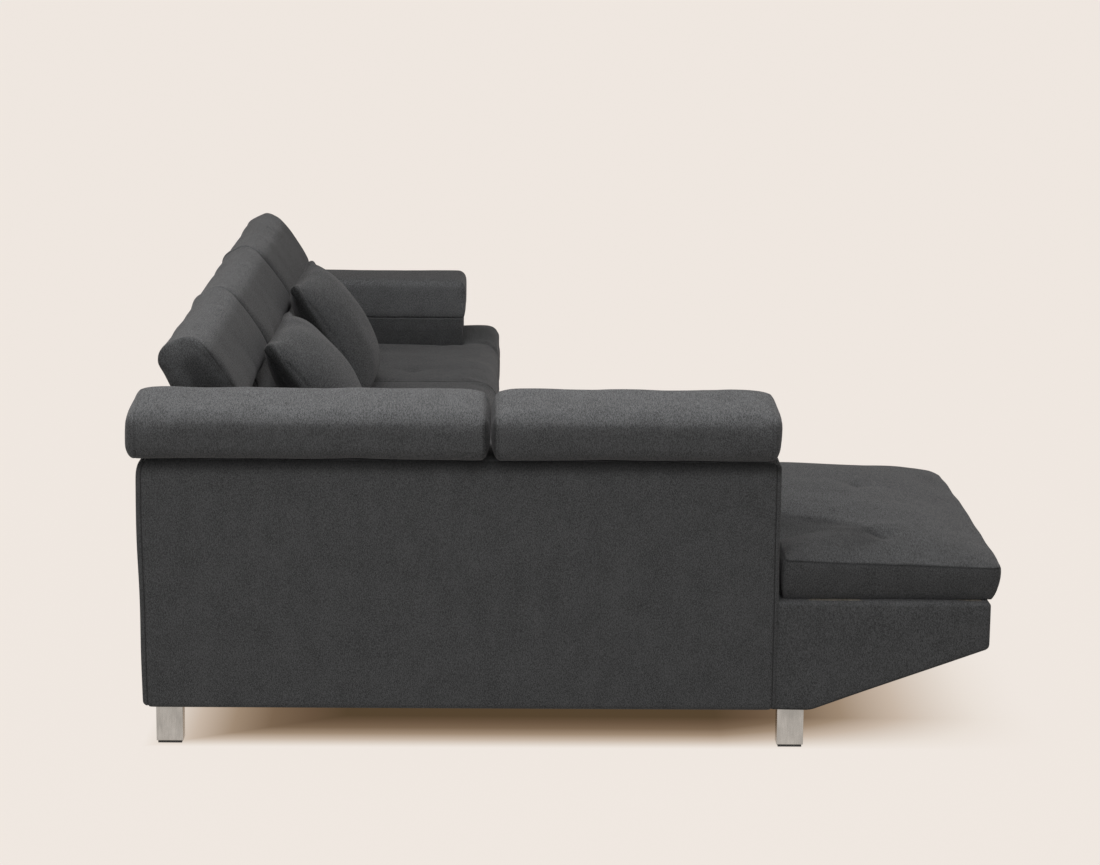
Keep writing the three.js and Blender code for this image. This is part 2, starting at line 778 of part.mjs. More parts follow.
// A cushion's parts are plan rectangles [x0, x1, s0, s1], and outline is the closed line
// that its crown rises from. Its corners are the rounded ones and its tufts the sewn points.
// From droopFrom to droopTo its seam comes down by the droop.
function seatCushion({ parts, outline, corners, tufts, crown, droop = 0, droopFrom = 0, droopTo = 1 }) {
  const keysX = parts.flatMap(([x0, x1]) => [x0, x0 + cushionRim, x1 - cushionRim, x1]);
  const keysS = parts.flatMap(([, , s0, s1]) => [s0, s0 + cushionRim, s1 - cushionRim, s1]);
  for (const [cx, cs, dx, ds, radius] of corners) {
    keysX.push(cx + (dx * radius) / 2, cx + dx * radius);
    keysS.push(cs + (ds * radius) / 2, cs + ds * radius);
  }
  for (const [tx, ts] of tufts) {
    keysX.push(tx - creaseHalfWidth, tx, tx + creaseHalfWidth);
    keysS.push(ts - creaseHalfWidth, ts, ts + creaseHalfWidth);
  }
  const xs = gridLines(keysX, cushionGrid);
  const ss = gridLines(keysS, cushionGrid);
  const holds = (x, s) => parts.some(([x0, x1, s0, s1]) => x > x0 && x < x1 && s > s0 && s < s1);
  const positions = [];
  const ids = new Map();
  const index = [];
  const vertex = (i, j) => {
    const key = `${i},${j}`;
    if (!ids.has(key)) {
      const x = xs[i];
      const s = ss[j];
      const into = Math.min(1, distanceToOutline(x, s, outline) / crown.run);
      const share = Math.sin((Math.PI / 2) * into) ** crown.fullness;
      const forward = Math.min(1, Math.max(0, (s - droopFrom) / (droopTo - droopFrom)));
      let z = seamHeight + crown.rise * share - droop * forward;
      for (const [tx, ts] of tufts) {
        const alongX = Math.abs(x - tx);
        const alongS = Math.abs(s - ts);
        z -= tuftDepth * Math.exp(-((alongX ** 2 + alongS ** 2) / tuftSpread ** 2));
        const reach = Math.max(0, 1 - Math.hypot(alongX, alongS) / tuftReach);
        if (Math.min(alongX, alongS) < clearance) {
          z -= creaseDepth * reach;
        }
      }
      const [px, ps] = roundCorner(x, s, corners);
      ids.set(key, positions.length / 3);
      positions.push(px, -ps, z);
    }
    return ids.get(key);
  };
  const follows = new Map();
  for (let i = 0; i + 1 < xs.length; i += 1) {
    for (let j = 0; j + 1 < ss.length; j += 1) {
      if (holds((xs[i] + xs[i + 1]) / 2, (ss[j] + ss[j + 1]) / 2)) {
        const ring = [vertex(i, j), vertex(i, j + 1), vertex(i + 1, j + 1), vertex(i + 1, j)];
        index.push(ring[0], ring[1], ring[2], ring[0], ring[2], ring[3]);
        ring.forEach((from, k) => {
          const to = ring[(k + 1) % ring.length];
          if (follows.get(to)?.delete(from)) {
            return;
          }
          if (!follows.has(from)) {
            follows.set(from, new Set());
          }
          follows.get(from).add(to);
        });
      }
    }
  }
  const loop = [];
  let at = [...follows.keys()].find((id) => follows.get(id).size > 0);
  const first = at;
  do {
    loop.push(at);
    [at] = follows.get(at);
  } while (at !== first);
  const point = (id) => new THREE.Vector2(positions[3 * id], positions[3 * id + 1]);
  const bottom = baseTop + clearance;
  const levels = [[(seamHeight + bottom) / 2, sideDraw], [bottom, footDraw]];
  let above = loop;
  for (const [z, draw] of levels) {
    const ring = loop.map((id, k) => {
      const here = point(id);
      const before = point(loop[(k + loop.length - 1) % loop.length]);
      const after = point(loop[(k + 1) % loop.length]);
      const along = after.sub(before).normalize();
      positions.push(here.x - along.y * draw, here.y + along.x * draw, z);
      return positions.length / 3 - 1;
    });
    ring.forEach((id, k) => {
      const next = (k + 1) % ring.length;
      index.push(above[k], id, above[next], above[next], id, ring[next]);
    });
    above = ring;
  }
  const faces = THREE.ShapeUtils.triangulateShape(above.map(point), []);
  for (const [a, b, c] of faces) {
    index.push(above[a], above[c], above[b]);
  }
  const geometry = new THREE.BufferGeometry();
  geometry.setAttribute("position", new THREE.Float32BufferAttribute(positions, 3));
  geometry.setIndex(index);
  geometry.computeVertexNormals();
  return geometry;
}

const seatRear = backThickness + seatGap;
const chaiseSeat = {
  x0: chaiseBase.x0 + cushionSideInset, x1: chaiseWidth - seatGap,
  wallX: sideThickness + seatGap, wallS: sideDepth + cushionWallGap,
};
addPiece("chaise_seat_cushion", seatCushion({
  parts: [
    [chaiseSeat.x0, chaiseSeat.x1, chaiseSeat.wallS, chaiseDepth],
    [chaiseSeat.wallX, chaiseSeat.x1, seatRear, chaiseSeat.wallS],
  ],
  outline: [
    [chaiseSeat.x0, chaiseSeat.wallS], [chaiseSeat.wallX, chaiseSeat.wallS],
    [chaiseSeat.wallX, seatRear], [chaiseSeat.x1, seatRear],
    [chaiseSeat.x1, chaiseDepth], [chaiseSeat.x0, chaiseDepth],
  ],
  corners: [
    [chaiseSeat.x0, chaiseDepth, 1, -1, nearCorner],
    [chaiseSeat.x1, chaiseDepth, -1, -1, cushionCorner],
    [chaiseSeat.x0, chaiseSeat.wallS, 1, 1, cushionCorner / 2],
  ],
  tufts: [0, 1].map((i) => [
    chaiseTuftInset + i * chaiseTuftSpacing, chaiseDepth - chaiseTuftFromFront,
  ]),
  crown: chaiseCrown, droop: chaiseDroop, droopFrom: chaiseSeat.wallS, droopTo: chaiseDepth,
}), fabric);

const seatMiddle = sofaStart + (armStart - sofaStart) / 2;
const farSeatEnd = length - seatGap;
const earFrom = armDepth + cushionWallGap - sofaCrown.run;
addPiece("middle_seat_cushion", seatCushion({
  parts: [[sofaStart + seatGap, seatMiddle - seatGap / 2, seatRear, sofaDepth]],
  outline: [
    [sofaStart + seatGap, seatRear], [seatMiddle - seatGap / 2, seatRear],
    [seatMiddle - seatGap / 2, sofaDepth], [sofaStart + seatGap, sofaDepth],
  ],
  corners: [
    [sofaStart + seatGap, sofaDepth, 1, -1, cushionCorner / 2],
    [seatMiddle - seatGap / 2, sofaDepth, -1, -1, cushionCorner / 2],
  ],
  tufts: [[(sofaStart + seatMiddle) / 2, sofaDepth - tuftFromFront]],
  crown: sofaCrown,
}), fabric);
addPiece("far_seat_cushion", seatCushion({
  parts: [
    [seatMiddle + seatGap / 2, farSeatEnd, armDepth + cushionWallGap, sofaDepth],
    [seatMiddle + seatGap / 2, armStart - seatGap, seatRear, armDepth + cushionWallGap],
  ],
  outline: [
    [seatMiddle + seatGap / 2, seatRear], [armStart - seatGap, seatRear],
    [armStart - seatGap, earFrom], [farSeatEnd, earFrom],
    [farSeatEnd, sofaDepth], [seatMiddle + seatGap / 2, sofaDepth],
  ],
  corners: [
    [seatMiddle + seatGap / 2, sofaDepth, 1, -1, cushionCorner / 2],
    [farSeatEnd, sofaDepth, -1, -1, cushionCorner / 2],
    [farSeatEnd, armDepth + cushionWallGap, -1, 1, cushionCorner / 2],
  ],
  tufts: [[seatMiddle + farTuftInset, sofaDepth - tuftFromFront]],
  crown: sofaCrown,
}), fabric);

// Legs: a metal post screwed up into the frame, and a plastic glide under it

function addLegs(prefix, places) {
  for (const [name, x, s] of places) {
    const post = sideExtrude([
      [s, gliderHeight, 0],
      [s + legDepth, gliderHeight, 0],
      [s + legDepth, wallBottom, 0],
      [s, wallBottom, 0],
    ], x, x + legWidth, legEdge);
    addPiece(`${prefix}_leg_${name}`, post, brushed);
    addPiece(`${prefix}_glide_${name}`, block(
      x + glideInset, x + legWidth - glideInset,
      s + glideInset, s + legDepth - glideInset,
      0, gliderHeight,
    ), plastic);
  }
}

const chaiseFrontLeg = chaiseBase.s1 - chaiseBase.heel - chaiseLegToHeel - legDepth;
const sofaFrontLeg = sofaBase.s1 - sofaBase.heel - sofaLegToHeel - legDepth;
addLegs("chaise", [
  ["rear_outer", legSideInset, rearLegSetback],
  ["rear_inner", chaiseWidth - legSideInset - legWidth, rearLegSetback],
  ["front_outer", chaiseFrontLegInset, chaiseFrontLeg],
  ["front_inner", chaiseWidth - chaiseFrontLegInset - legWidth, chaiseFrontLeg],
]);
addLegs("sofa", [
  ["rear_inner", sofaStart + legSideInset, rearLegSetback],
  ["rear_outer", length - legSideInset - legWidth, rearLegSetback],
  ["front_inner", sofaStart + legSideInset, sofaFrontLeg],
  ["front_outer", length - legSideInset - legWidth, sofaFrontLeg],
]);

// Throw pillows: two puffed faces that meet in a sharp seam, drawn in between corners

function pillowGeometry() {
  const cells = pillowCellCount;
  const positions = [];
  const index = [];
  const ids = [new Map(), new Map()];
  const vertex = (side, i, j) => {
    const onSeam = i === 0 || j === 0 || i === cells || j === cells;
    const map = ids[onSeam ? 0 : side];
    const key = `${i},${j}`;
    if (!map.has(key)) {
      const a = (2 * i) / cells - 1;
      const b = (2 * j) / cells - 1;
      const puff = ((1 - a * a) * (1 - b * b)) ** pillowPuffShare;
      const lift = (onSeam ? 0 : puff) * (pillowThickness / 2) * (side === 0 ? 1 : -1);
      map.set(key, positions.length / 3);
      positions.push(
        (pillowWidth / 2) * a * (1 - pillowDrawShare * (1 - b * b)),
        lift,
        (pillowHeight / 2) * b * (1 - pillowDrawShare * (1 - a * a)),
      );
    }
    return map.get(key);
  };
  for (const side of [0, 1]) {
    for (let i = 0; i < cells; i += 1) {
      for (let j = 0; j < cells; j += 1) {
        const a = vertex(side, i, j);
        const b = vertex(side, i + 1, j);
        const c = vertex(side, i + 1, j + 1);
        const d = vertex(side, i, j + 1);
        const upwards = (i < cells / 2) === (j < cells / 2);
        const faces = upwards ? [[a, c, b], [a, d, c]] : [[a, d, b], [b, d, c]];
        for (const face of faces) {
          index.push(...(side === 0 ? face : face.reverse()));
        }
      }
    }
  }
  const geometry = new THREE.BufferGeometry();
  geometry.setAttribute("position", new THREE.Float32BufferAttribute(positions, 3));
  geometry.setIndex(index);
  geometry.computeVertexNormals();
  return geometry;
}

function addPillow(name, x, fromBack, rise, angle) {
  const pillow = addPiece(name, pillowGeometry(), fabric);
  pillow.position.set(x, -backThickness - fromBack, crownHeight + rise);
  pillow.rotation.x = -THREE.MathUtils.degToRad(angle);
}

addPillow(
  "throw_pillow_near", chaiseWidth - nearPillowFromSeam,
  nearPillowFromBack, nearPillowRise, nearPillowAngle,
);
addPillow(
  "throw_pillow_far", seatMiddle - farPillowFromSeam,
  farPillowFromBack, farPillowRise, farPillowAngle,
);

// Connectors between the modules: one plate on each base, hooked face to face

function addConnector(name, x0) {
  const middle = sofaDepth / 2;
  const top = baseTop - connectorDrop;
  addPiece(name, block(
    x0, x0 + connectorPlate,
    middle - connectorLength / 2, middle + connectorLength / 2,
    top - connectorHeight, top,
  ), steel);
}

addConnector("chaise_connector", chaiseWidth);
addConnector("sofa_connector", sofaStart - connectorPlate);

const box = new THREE.Box3().setFromObject(workshop);
workshop.position.set(-(box.min.x + box.max.x) / 2, -(box.min.y + box.max.y) / 2, -box.min.z);

export default sofa;
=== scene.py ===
import json
import math
from contextlib import contextmanager
from typing import NamedTuple

import bmesh
import bpy
from bpy.props import FloatProperty, FloatVectorProperty, PointerProperty
from bpy.types import Operator, Panel, PropertyGroup
from mathutils import Matrix, Vector, noise


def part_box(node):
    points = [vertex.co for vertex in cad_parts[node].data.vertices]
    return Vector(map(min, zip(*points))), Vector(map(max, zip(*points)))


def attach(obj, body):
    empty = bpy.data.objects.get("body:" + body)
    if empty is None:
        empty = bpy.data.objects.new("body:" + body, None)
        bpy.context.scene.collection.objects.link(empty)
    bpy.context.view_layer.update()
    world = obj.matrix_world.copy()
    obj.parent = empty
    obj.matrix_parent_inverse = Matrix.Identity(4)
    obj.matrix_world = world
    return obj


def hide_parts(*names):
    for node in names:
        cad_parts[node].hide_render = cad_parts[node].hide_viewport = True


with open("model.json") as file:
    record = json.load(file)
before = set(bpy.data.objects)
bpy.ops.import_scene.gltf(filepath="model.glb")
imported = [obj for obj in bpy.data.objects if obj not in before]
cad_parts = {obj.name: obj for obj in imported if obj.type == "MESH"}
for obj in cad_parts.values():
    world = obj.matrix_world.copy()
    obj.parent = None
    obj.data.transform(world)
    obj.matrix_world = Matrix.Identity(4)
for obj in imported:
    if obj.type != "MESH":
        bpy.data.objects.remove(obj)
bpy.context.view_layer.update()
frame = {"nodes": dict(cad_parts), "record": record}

bl_info = {
    "name": "Sectional Sofa Upholstery",
    "version": (1, 0, 0),
    "blender": (4, 5, 0),
    "location": "3D View > Sidebar > Sofa",
    "description": "Dresses the frame of a sectional sofa in padded cloth and sets a studio round it",
    "category": "Object",
}

ALONG, DEEP, UP = range(3)
TINY = 1e-5
FABRIC = "charcoal_fabric"

# The bodies that carry the padded pieces
FIXED = "sofa_body"
HEADRESTS = ("headrest_1", "headrest_2", "headrest_3")
SIDE_PADS = ("side_pad_rear", "side_pad_front")
PILLOWS = ("throw_pillow_near", "throw_pillow_far")

# Angles between the loops over a rounded edge, how far other loops stay off a seam, as a share of
# its reach, and how much longer the facets of walls and aprons are
BEND_ANGLES = (30, 15, 0)
CLEAR_OF_SEAM_SHARE = 1.8
WALL_STEP_SHARE = 1.6
APRON_STEP_SHARE = 1.8


# Settings that a user would change

class SofaClothColours(PropertyGroup):
    """Colours and lustre of the upholstery."""

    dark_yarn: FloatVectorProperty(
        name="Dark Yarn", description="Colour in the hollows of the weave",
        subtype="COLOR", size=4, default=(0.0452, 0.0460, 0.0472, 1.0), min=0.0, max=1.0)
    light_yarn: FloatVectorProperty(
        name="Light Yarn", description="Colour of the raised, brushed yarns",
        subtype="COLOR", size=4, default=(0.1320, 0.1343, 0.1375, 1.0), min=0.0, max=1.0)
    pile_lustre: FloatProperty(
        name="Pile Lustre", description="Strength of the soft shine of the brushed pile",
        subtype="FACTOR", default=0.16, min=0.0, max=1.0)


class SofaPaddingSizes(PropertyGroup):
    """Shapes of the padding and its seams."""

    mesh_step: FloatProperty(
        name="Mesh Step", description="Length of the facets before they are smoothed",
        unit="LENGTH", default=0.022, min=0.008)
    seam_depth: FloatProperty(
        name="Seam Depth", description="How far a sewn seam pulls the cloth in",
        unit="LENGTH", default=0.0034, min=0.0)
    seam_reach: FloatProperty(
        name="Seam Reach", description="Half of the width that a seam pulls in",
        unit="LENGTH", default=0.0030, min=0.001)
    pad_end_seam: FloatProperty(
        name="Pad End Seam", description="Distance from the end of a pad to its end seam",
        unit="LENGTH", default=0.009, min=0.004)
    pad_swell: FloatProperty(
        name="Pad Swell", description="How far the stuffing may push a pad's cover out",
        unit="LENGTH", default=0.005, min=0.0)
    boxing_height: FloatProperty(
        name="Boxing Height", description="Height of a seat cushion's side, up to its upper seam",
        unit="LENGTH", default=0.0835, min=0.02)
    cushion_corner: FloatProperty(
        name="Cushion Corner", description="Radius of the chaise cushion's far front corner, seen from above",
        unit="LENGTH", default=0.064, min=0.01)
    chaise_droop: FloatProperty(
        name="Chaise Droop", description="How far the chaise cushion's seam comes down towards its front",
        unit="LENGTH", default=0.014, min=0.0)
    tuft_depth: FloatProperty(
        name="Tuft Depth", description="How deep a sewn tuft sinks into a seat",
        unit="LENGTH", default=0.007, min=0.0)
    fold_depth: FloatProperty(
        name="Fold Depth", description="How far the chaise cushion falls beside the fold at its tuft",
        unit="LENGTH", default=0.008, min=0.0)


class SofaStudioSettings(PropertyGroup):
    """Camera, lamps and backdrop."""

    lens: FloatProperty(
        name="Lens", description="Focal length for a sensor 36 mm wide",
        unit="CAMERA", default=100.19, min=20.0)
    camera_place: FloatVectorProperty(
        name="Camera Place", description="Where the camera stands",
        subtype="TRANSLATION", unit="LENGTH", default=(-7.26703, 0.11906, 1.80309))
    camera_dip: FloatProperty(
        name="Camera Dip", description="How far the camera looks down",
        subtype="ANGLE", unit="ROTATION", default=0.1915)
    camera_turn: FloatProperty(
        name="Camera Turn", description="How far the camera turns off the straight side view",
        subtype="ANGLE", unit="ROTATION", default=0.0137)
    camera_roll: FloatProperty(
        name="Camera Roll", description="How far the camera leans",
        subtype="ANGLE", unit="ROTATION", default=0.0088)
    backdrop: FloatVectorProperty(
        name="Backdrop", description="Colour of the floor and of what is behind the sofa",
        subtype="COLOR", size=4, default=(0.863, 0.799, 0.745, 1.0), min=0.0, max=1.0)
    shaded_floor: FloatVectorProperty(
        name="Shaded Floor", description="Colour of the deepest shade under the sofa",
        subtype="COLOR", size=4, default=(0.091, 0.058, 0.030, 1.0), min=0.0, max=1.0)
    floor_bounce: FloatVectorProperty(
        name="Floor Bounce", description="Colour of the light that the floor throws back on the sofa",
        subtype="COLOR", size=4, default=(0.42, 0.40, 0.38, 1.0), min=0.0, max=1.0)
    ceiling_power: FloatProperty(
        name="Ceiling Power", description="Power of the broad lamp overhead, in watts",
        unit="POWER", default=62.0, min=0.0)
    fill_power: FloatProperty(
        name="Fill Power", description="Power of the broad lamp beside the camera, in watts",
        unit="POWER", default=58.0, min=0.0)
    sky_strength: FloatProperty(
        name="Sky Strength", description="Brightness of the even light from all round",
        default=0.24, min=0.0)


def padding():
    return bpy.context.scene.sofa_padding


# Materials

def start_material(name, rough, metal=0.0):
    """A new material and its node tree, shader and place on the piece."""
    material = bpy.data.materials.new(name)
    material.use_nodes = True
    tree = material.node_tree
    shader = tree.nodes["Principled BSDF"]
    shader.inputs["Roughness"].default_value = rough
    shader.inputs["Metallic"].default_value = metal
    place = tree.nodes.new("ShaderNodeTexCoord")
    return material, tree, shader, place.outputs["Object"]


def add_node(tree, kind, inputs, operation=None):
    """A new node. Each of its inputs is given a value or another node's output."""
    node = tree.nodes.new(kind)
    if operation is not None:
        node.operation = operation
    for socket, value in inputs.items():
        if isinstance(value, bpy.types.NodeSocket):
            tree.links.new(value, node.inputs[socket])
        else:
            node.inputs[socket].default_value = value
    return node


def add_noise(tree, place, scale, detail=2.0, roughness=0.5):
    """Noise over the piece, with its own scale along each axis."""
    mapping = add_node(tree, "ShaderNodeMapping", {"Vector": place, "Scale": scale})
    texture = add_node(tree, "ShaderNodeTexNoise", {
        "Vector": mapping.outputs["Vector"], "Scale": 1.0, "Detail": detail, "Roughness": roughness})
    return texture.outputs["Fac"]


def add_math(tree, operation, values):
    """One value out of several, taken together in pairs."""
    total = values[0]
    for value in values[1:]:
        total = add_node(tree, "ShaderNodeMath", {0: total, 1: value}, operation).outputs[0]
    return total


def add_sum(tree, parts):
    """Weighted sum of several values."""
    total = 0.0
    for value, weight in parts:
        node = add_node(tree, "ShaderNodeMath", {0: value, 1: weight, 2: total}, "MULTIPLY_ADD")
        total = node.outputs[0]
    return total


def add_ramp(tree, value, stops):
    """Colours along a value, as (position, colour) stops."""
    ramp = add_node(tree, "ShaderNodeValToRGB", {"Fac": value})
    for element, (position, colour) in zip(ramp.color_ramp.elements, (stops[0], stops[-1])):
        element.position = position
        element.color = colour
    for position, colour in stops[1:-1]:
        ramp.color_ramp.elements.new(position).color = colour
    return ramp.outputs["Color"]


def add_tint(tree, colour, layer, tint):
    """Multiplies a colour by a grey tint where a vertex layer of the piece is 1."""
    stored = tree.nodes.new("ShaderNodeAttribute")
    stored.attribute_name = layer
    mix = add_node(tree, "ShaderNodeMixRGB", {
        "Fac": stored.outputs["Fac"], "Color1": colour, "Color2": (tint, tint, tint, 1.0)})
    mix.blend_type = "MULTIPLY"
    return mix.outputs["Color"]


def cover(tree, shader, colour, relief, strength, distance):
    """Gives a shader its colour and a relief."""
    bump = add_node(tree, "ShaderNodeBump", {
        "Strength": strength, "Distance": distance, "Height": relief})
    tree.links.new(colour, shader.inputs["Base Color"])
    tree.links.new(bump.outputs["Normal"], shader.inputs["Normal"])


def make_upholstery_cloth():
    """Brushed chenille: short upright yarns, flecks between them and broad worn patches."""
    colours = bpy.context.scene.sofa_cloth
    material, tree, shader, place = start_material("charcoal_chenille", rough=0.92)
    yarns = add_noise(tree, place, (72.0, 560.0, 270.0), detail=4.0, roughness=0.75)
    flecks = add_noise(tree, place, (170.0, 800.0, 640.0), roughness=0.7)
    patches = add_noise(tree, place, (24.0, 24.0, 17.0), detail=4.0, roughness=0.65)
    mixed = add_sum(tree, ((yarns, 0.50), (flecks, 0.42), (patches, 0.08)))
    colour = add_ramp(tree, mixed, ((0.435, colours.dark_yarn), (0.565, colours.light_yarn)))
    # Painted shade along the seams, painted light where a piece is marked lit and painted shade where it is
    # marked shaded
    for layer, tint in (("seam", 0.42), ("bloom", 1.62), ("painted_shade", 0.35)):
        colour = add_tint(tree, colour, layer, tint)
    relief = add_sum(tree, ((yarns, 0.65), (flecks, 0.35)))
    cover(tree, shader, colour, relief, strength=0.75, distance=0.0014)
    shader.inputs["Specular IOR Level"].default_value = 0.18
    shader.inputs["Sheen Weight"].default_value = colours.pile_lustre
    shader.inputs["Sheen Roughness"].default_value = 0.42
    shader.inputs["Sheen Tint"].default_value = (0.80, 0.80, 0.82, 1.0)
    return material


def make_brushed_metal():
    """Satin leg metal with fine upright brush marks and cloudy polish."""
    material, tree, shader, place = start_material("satin_leg_metal", rough=0.3, metal=1.0)
    marks = add_noise(tree, place, (900.0, 900.0, 40.0))
    clouds = add_noise(tree, place, (38.0, 38.0, 24.0), detail=3.0)
    tone = add_sum(tree, ((marks, 0.35), (clouds, 0.65)))
    stops = ((0.35, (0.38, 0.375, 0.36, 1.0)), (0.65, (0.52, 0.51, 0.49, 1.0)))
    cover(tree, shader, add_ramp(tree, tone, stops), marks, strength=0.12, distance=0.0004)
    rough = add_sum(tree, ((marks, 0.12), (clouds, 0.36)))
    tree.links.new(rough, shader.inputs["Roughness"])
    return material


def make_glide_plastic():
    """Matt black moulded plastic with a fine grain."""
    material, tree, shader, place = start_material("glide_plastic_black", rough=0.55)
    grain = add_noise(tree, place, (700.0, 700.0, 700.0))
    stops = ((0.3, (0.010, 0.010, 0.011, 1.0)), (0.7, (0.020, 0.020, 0.021, 1.0)))
    cover(tree, shader, add_ramp(tree, grain, stops), grain, strength=0.2, distance=0.0003)
    return material


def make_sawn_timber():
    """Softwood with growth rings drawn out along each board."""
    material, tree, shader, place = start_material("sawn_timber", rough=0.72)
    rings = add_noise(tree, place, (9.0, 9.0, 60.0), detail=4.0, roughness=0.6)
    fibres = add_noise(tree, place, (120.0, 120.0, 700.0))
    tone = add_sum(tree, ((rings, 0.7), (fibres, 0.3)))
    stops = ((0.32, (0.34, 0.19, 0.08, 1.0)), (0.55, (0.56, 0.34, 0.15, 1.0)),
             (0.72, (0.66, 0.44, 0.22, 1.0)))
    cover(tree, shader, add_ramp(tree, tone, stops), fibres, strength=0.3, distance=0.0005)
    return material


def make_seat_webbing():
    """Woven elastic strap with crossing ribs."""
    material, tree, shader, place = start_material("seat_webbing_weave", rough=0.9)
    warp = add_noise(tree, place, (420.0, 40.0, 400.0), detail=1.0)
    weft = add_noise(tree, place, (40.0, 420.0, 400.0), detail=1.0)
    tone = add_sum(tree, ((warp, 0.5), (weft, 0.5)))
    stops = ((0.36, (0.13, 0.12, 0.10, 1.0)), (0.64, (0.34, 0.31, 0.26, 1.0)))
    cover(tree, shader, add_ramp(tree, tone, stops), tone, strength=0.5, distance=0.0008)
    return material


def make_lining_cloth():
    """Thin black spun cloth under the seats."""
    material, tree, shader, place = start_material("spun_lining", rough=0.95)
    dots = add_noise(tree, place, (520.0, 520.0, 520.0))
    stops = ((0.35, (0.008, 0.008, 0.009, 1.0)), (0.65, (0.026, 0.026, 0.028, 1.0)))
    cover(tree, shader, add_ramp(tree, dots, stops), dots, strength=0.3, distance=0.0005)
    return material


def make_hinge_steel():
    """Dark coated steel of the hinges and connectors, a little scuffed."""
    material, tree, shader, place = start_material("coated_hinge_steel", rough=0.45, metal=0.7)
    scuffs = add_noise(tree, place, (60.0, 60.0, 60.0), detail=5.0, roughness=0.7)
    stops = ((0.4, (0.035, 0.035, 0.038, 1.0)), (0.75, (0.16, 0.16, 0.165, 1.0)))
    tree.links.new(add_ramp(tree, scuffs, stops), shader.inputs["Base Color"])
    rough = add_sum(tree, ((scuffs, 0.8),))
    tree.links.new(rough, shader.inputs["Roughness"])
    return material


FINISHES = {
    FABRIC: make_upholstery_cloth,
    "leg_metal": make_brushed_metal,
    "glide_plastic": make_glide_plastic,
    "timber": make_sawn_timber,
    "webbing": make_seat_webbing,
    "lining_cloth": make_lining_cloth,
    "hinge_steel": make_hinge_steel,
}
made_finishes = {}


def finish_for(slot):
    """The material of a slot, made once."""
    if slot not in made_finishes:
        made_finishes[slot] = FINISHES[slot]()
    return made_finishes[slot]


# Shaping of padded blocks

def smooth_step(value, start, end):
    share = min(1.0, max(0.0, (value - start) / (end - start)))
    return share * share * (3 - 2 * share)


def start_block(low, high):
    """A plain block between two corners."""
    bm = bmesh.new()
    bmesh.ops.create_cube(bm, size=1.0)
    bmesh.ops.scale(bm, vec=high - low, verts=bm.verts)
    bmesh.ops.translate(bm, vec=(low + high) / 2, verts=bm.verts)
    return bm


def start_sheet(width, depth, segments=1):
    """A flat grid round the origin."""
    bm = bmesh.new()
    bmesh.ops.create_grid(bm, x_segments=segments, y_segments=segments, size=0.5)
    bmesh.ops.scale(bm, vec=Vector((width, depth, 1.0)), verts=bm.verts)
    return bm


def extrude_down(bm, faces, move):
    """Extrudes faces into a closed block, moves the new ones and gives back their vertices."""
    result = bmesh.ops.extrude_face_region(bm, geom=faces, use_keep_orig=True)
    moved = [item for item in result["geom"] if isinstance(item, bmesh.types.BMVert)]
    bmesh.ops.translate(bm, vec=move, verts=moved)
    return moved


def new_layer(bm, name):
    return bm.verts.layers.float.new(name)


def whole(bm):
    return bm.verts[:] + bm.edges[:] + bm.faces[:]


def slice_across(bm, axis, places):
    """Cuts new loops through the mesh at places along an axis."""
    normal = Vector((0.0, 0.0, 0.0))
    normal[axis] = 1.0
    for place in places:
        bmesh.ops.bisect_plane(
            bm, geom=whole(bm), dist=TINY, plane_co=normal * place, plane_no=normal)


def loop_places(low, high, bend, step, seams):
    """Places of loops between low and high: close over the rounded ends, even between."""
    turns = [bend * (1 - math.tan(math.radians(angle))) for angle in BEND_ANGLES]
    span = high - low - 2 * bend
    count = max(1, round(span / step))
    places = [low + turn for turn in turns] + [high - turn for turn in turns]
    places += [low + bend + span * i / count for i in range(1, count)]
    reach = padding().seam_reach
    for seam in seams:
        places = [place for place in places if abs(place - seam) > CLEAR_OF_SEAM_SHARE * reach]
        places += [seam - reach, seam, seam + reach]
    return sorted(place for place in places if low + TINY < place < high - TINY)


def mark_seams(bm, axis, seams):
    """Marks the vertices that lie on seams across an axis."""
    layer = bm.verts.layers.float.get("seam") or new_layer(bm, "seam")
    for vert in bm.verts:
        if any(abs(vert.co[axis] - seam) < 10 * TINY for seam in seams):
            vert[layer] = 1.0


def round_block(bm, low, high, bends):
    """Rounds a sliced block's edges, with one bend radius per axis."""
    for vert in bm.verts:
        core = Vector([
            min(max(vert.co[i], low[i] + bends[i]), high[i] - bends[i]) for i in range(3)
        ])
        out = Vector([(vert.co[i] - core[i]) / bends[i] for i in range(3)])
        if out.length > 0:
            out.normalize()
            vert.co = core + Vector([out[i] * bends[i] for i in range(3)])


def padded_block(low, high, bends, step, seams):
    """A block of padding with rounded edges, marked seams and even loops."""
    bm = start_block(low, high)
    for axis in (ALONG, DEEP, UP):
        slice_across(bm, axis, loop_places(low[axis], high[axis], bends[axis], step, seams[axis]))
    for axis in (ALONG, DEEP, UP):
        mark_seams(bm, axis, seams[axis])
    round_block(bm, low, high, bends)
    bmesh.ops.recalc_face_normals(bm, faces=bm.faces)
    return bm


def ripple(bm, height, length, seed, keep=None):
    """Moves the cloth in and out along its normals in soft waves."""
    bm.normal_update()
    shift = Vector((seed, 2.3 * seed, 0.7 * seed))
    moves = [
        (vert, vert.normal * height * noise.noise(vert.co / length + shift))
        for vert in bm.verts if keep is None or keep(vert.co)
    ]
    for vert, move in moves:
        vert.co += move


def to_piece(name, bm):
    """Turns the mesh under way into an object with smooth faces."""
    bm.normal_update()
    for face in bm.faces:
        face.smooth = True
    mesh = bpy.data.meshes.new(name)
    bm.to_mesh(mesh)
    bm.free()
    piece = bpy.data.objects.new(name, mesh)
    bpy.context.scene.collection.objects.link(piece)
    return piece


@contextmanager
def reshaping(piece):
    """Opens a piece's mesh for changes and writes them back."""
    bm = bmesh.new()
    bm.from_mesh(piece.data)
    yield bm
    bm.to_mesh(piece.data)
    bm.free()


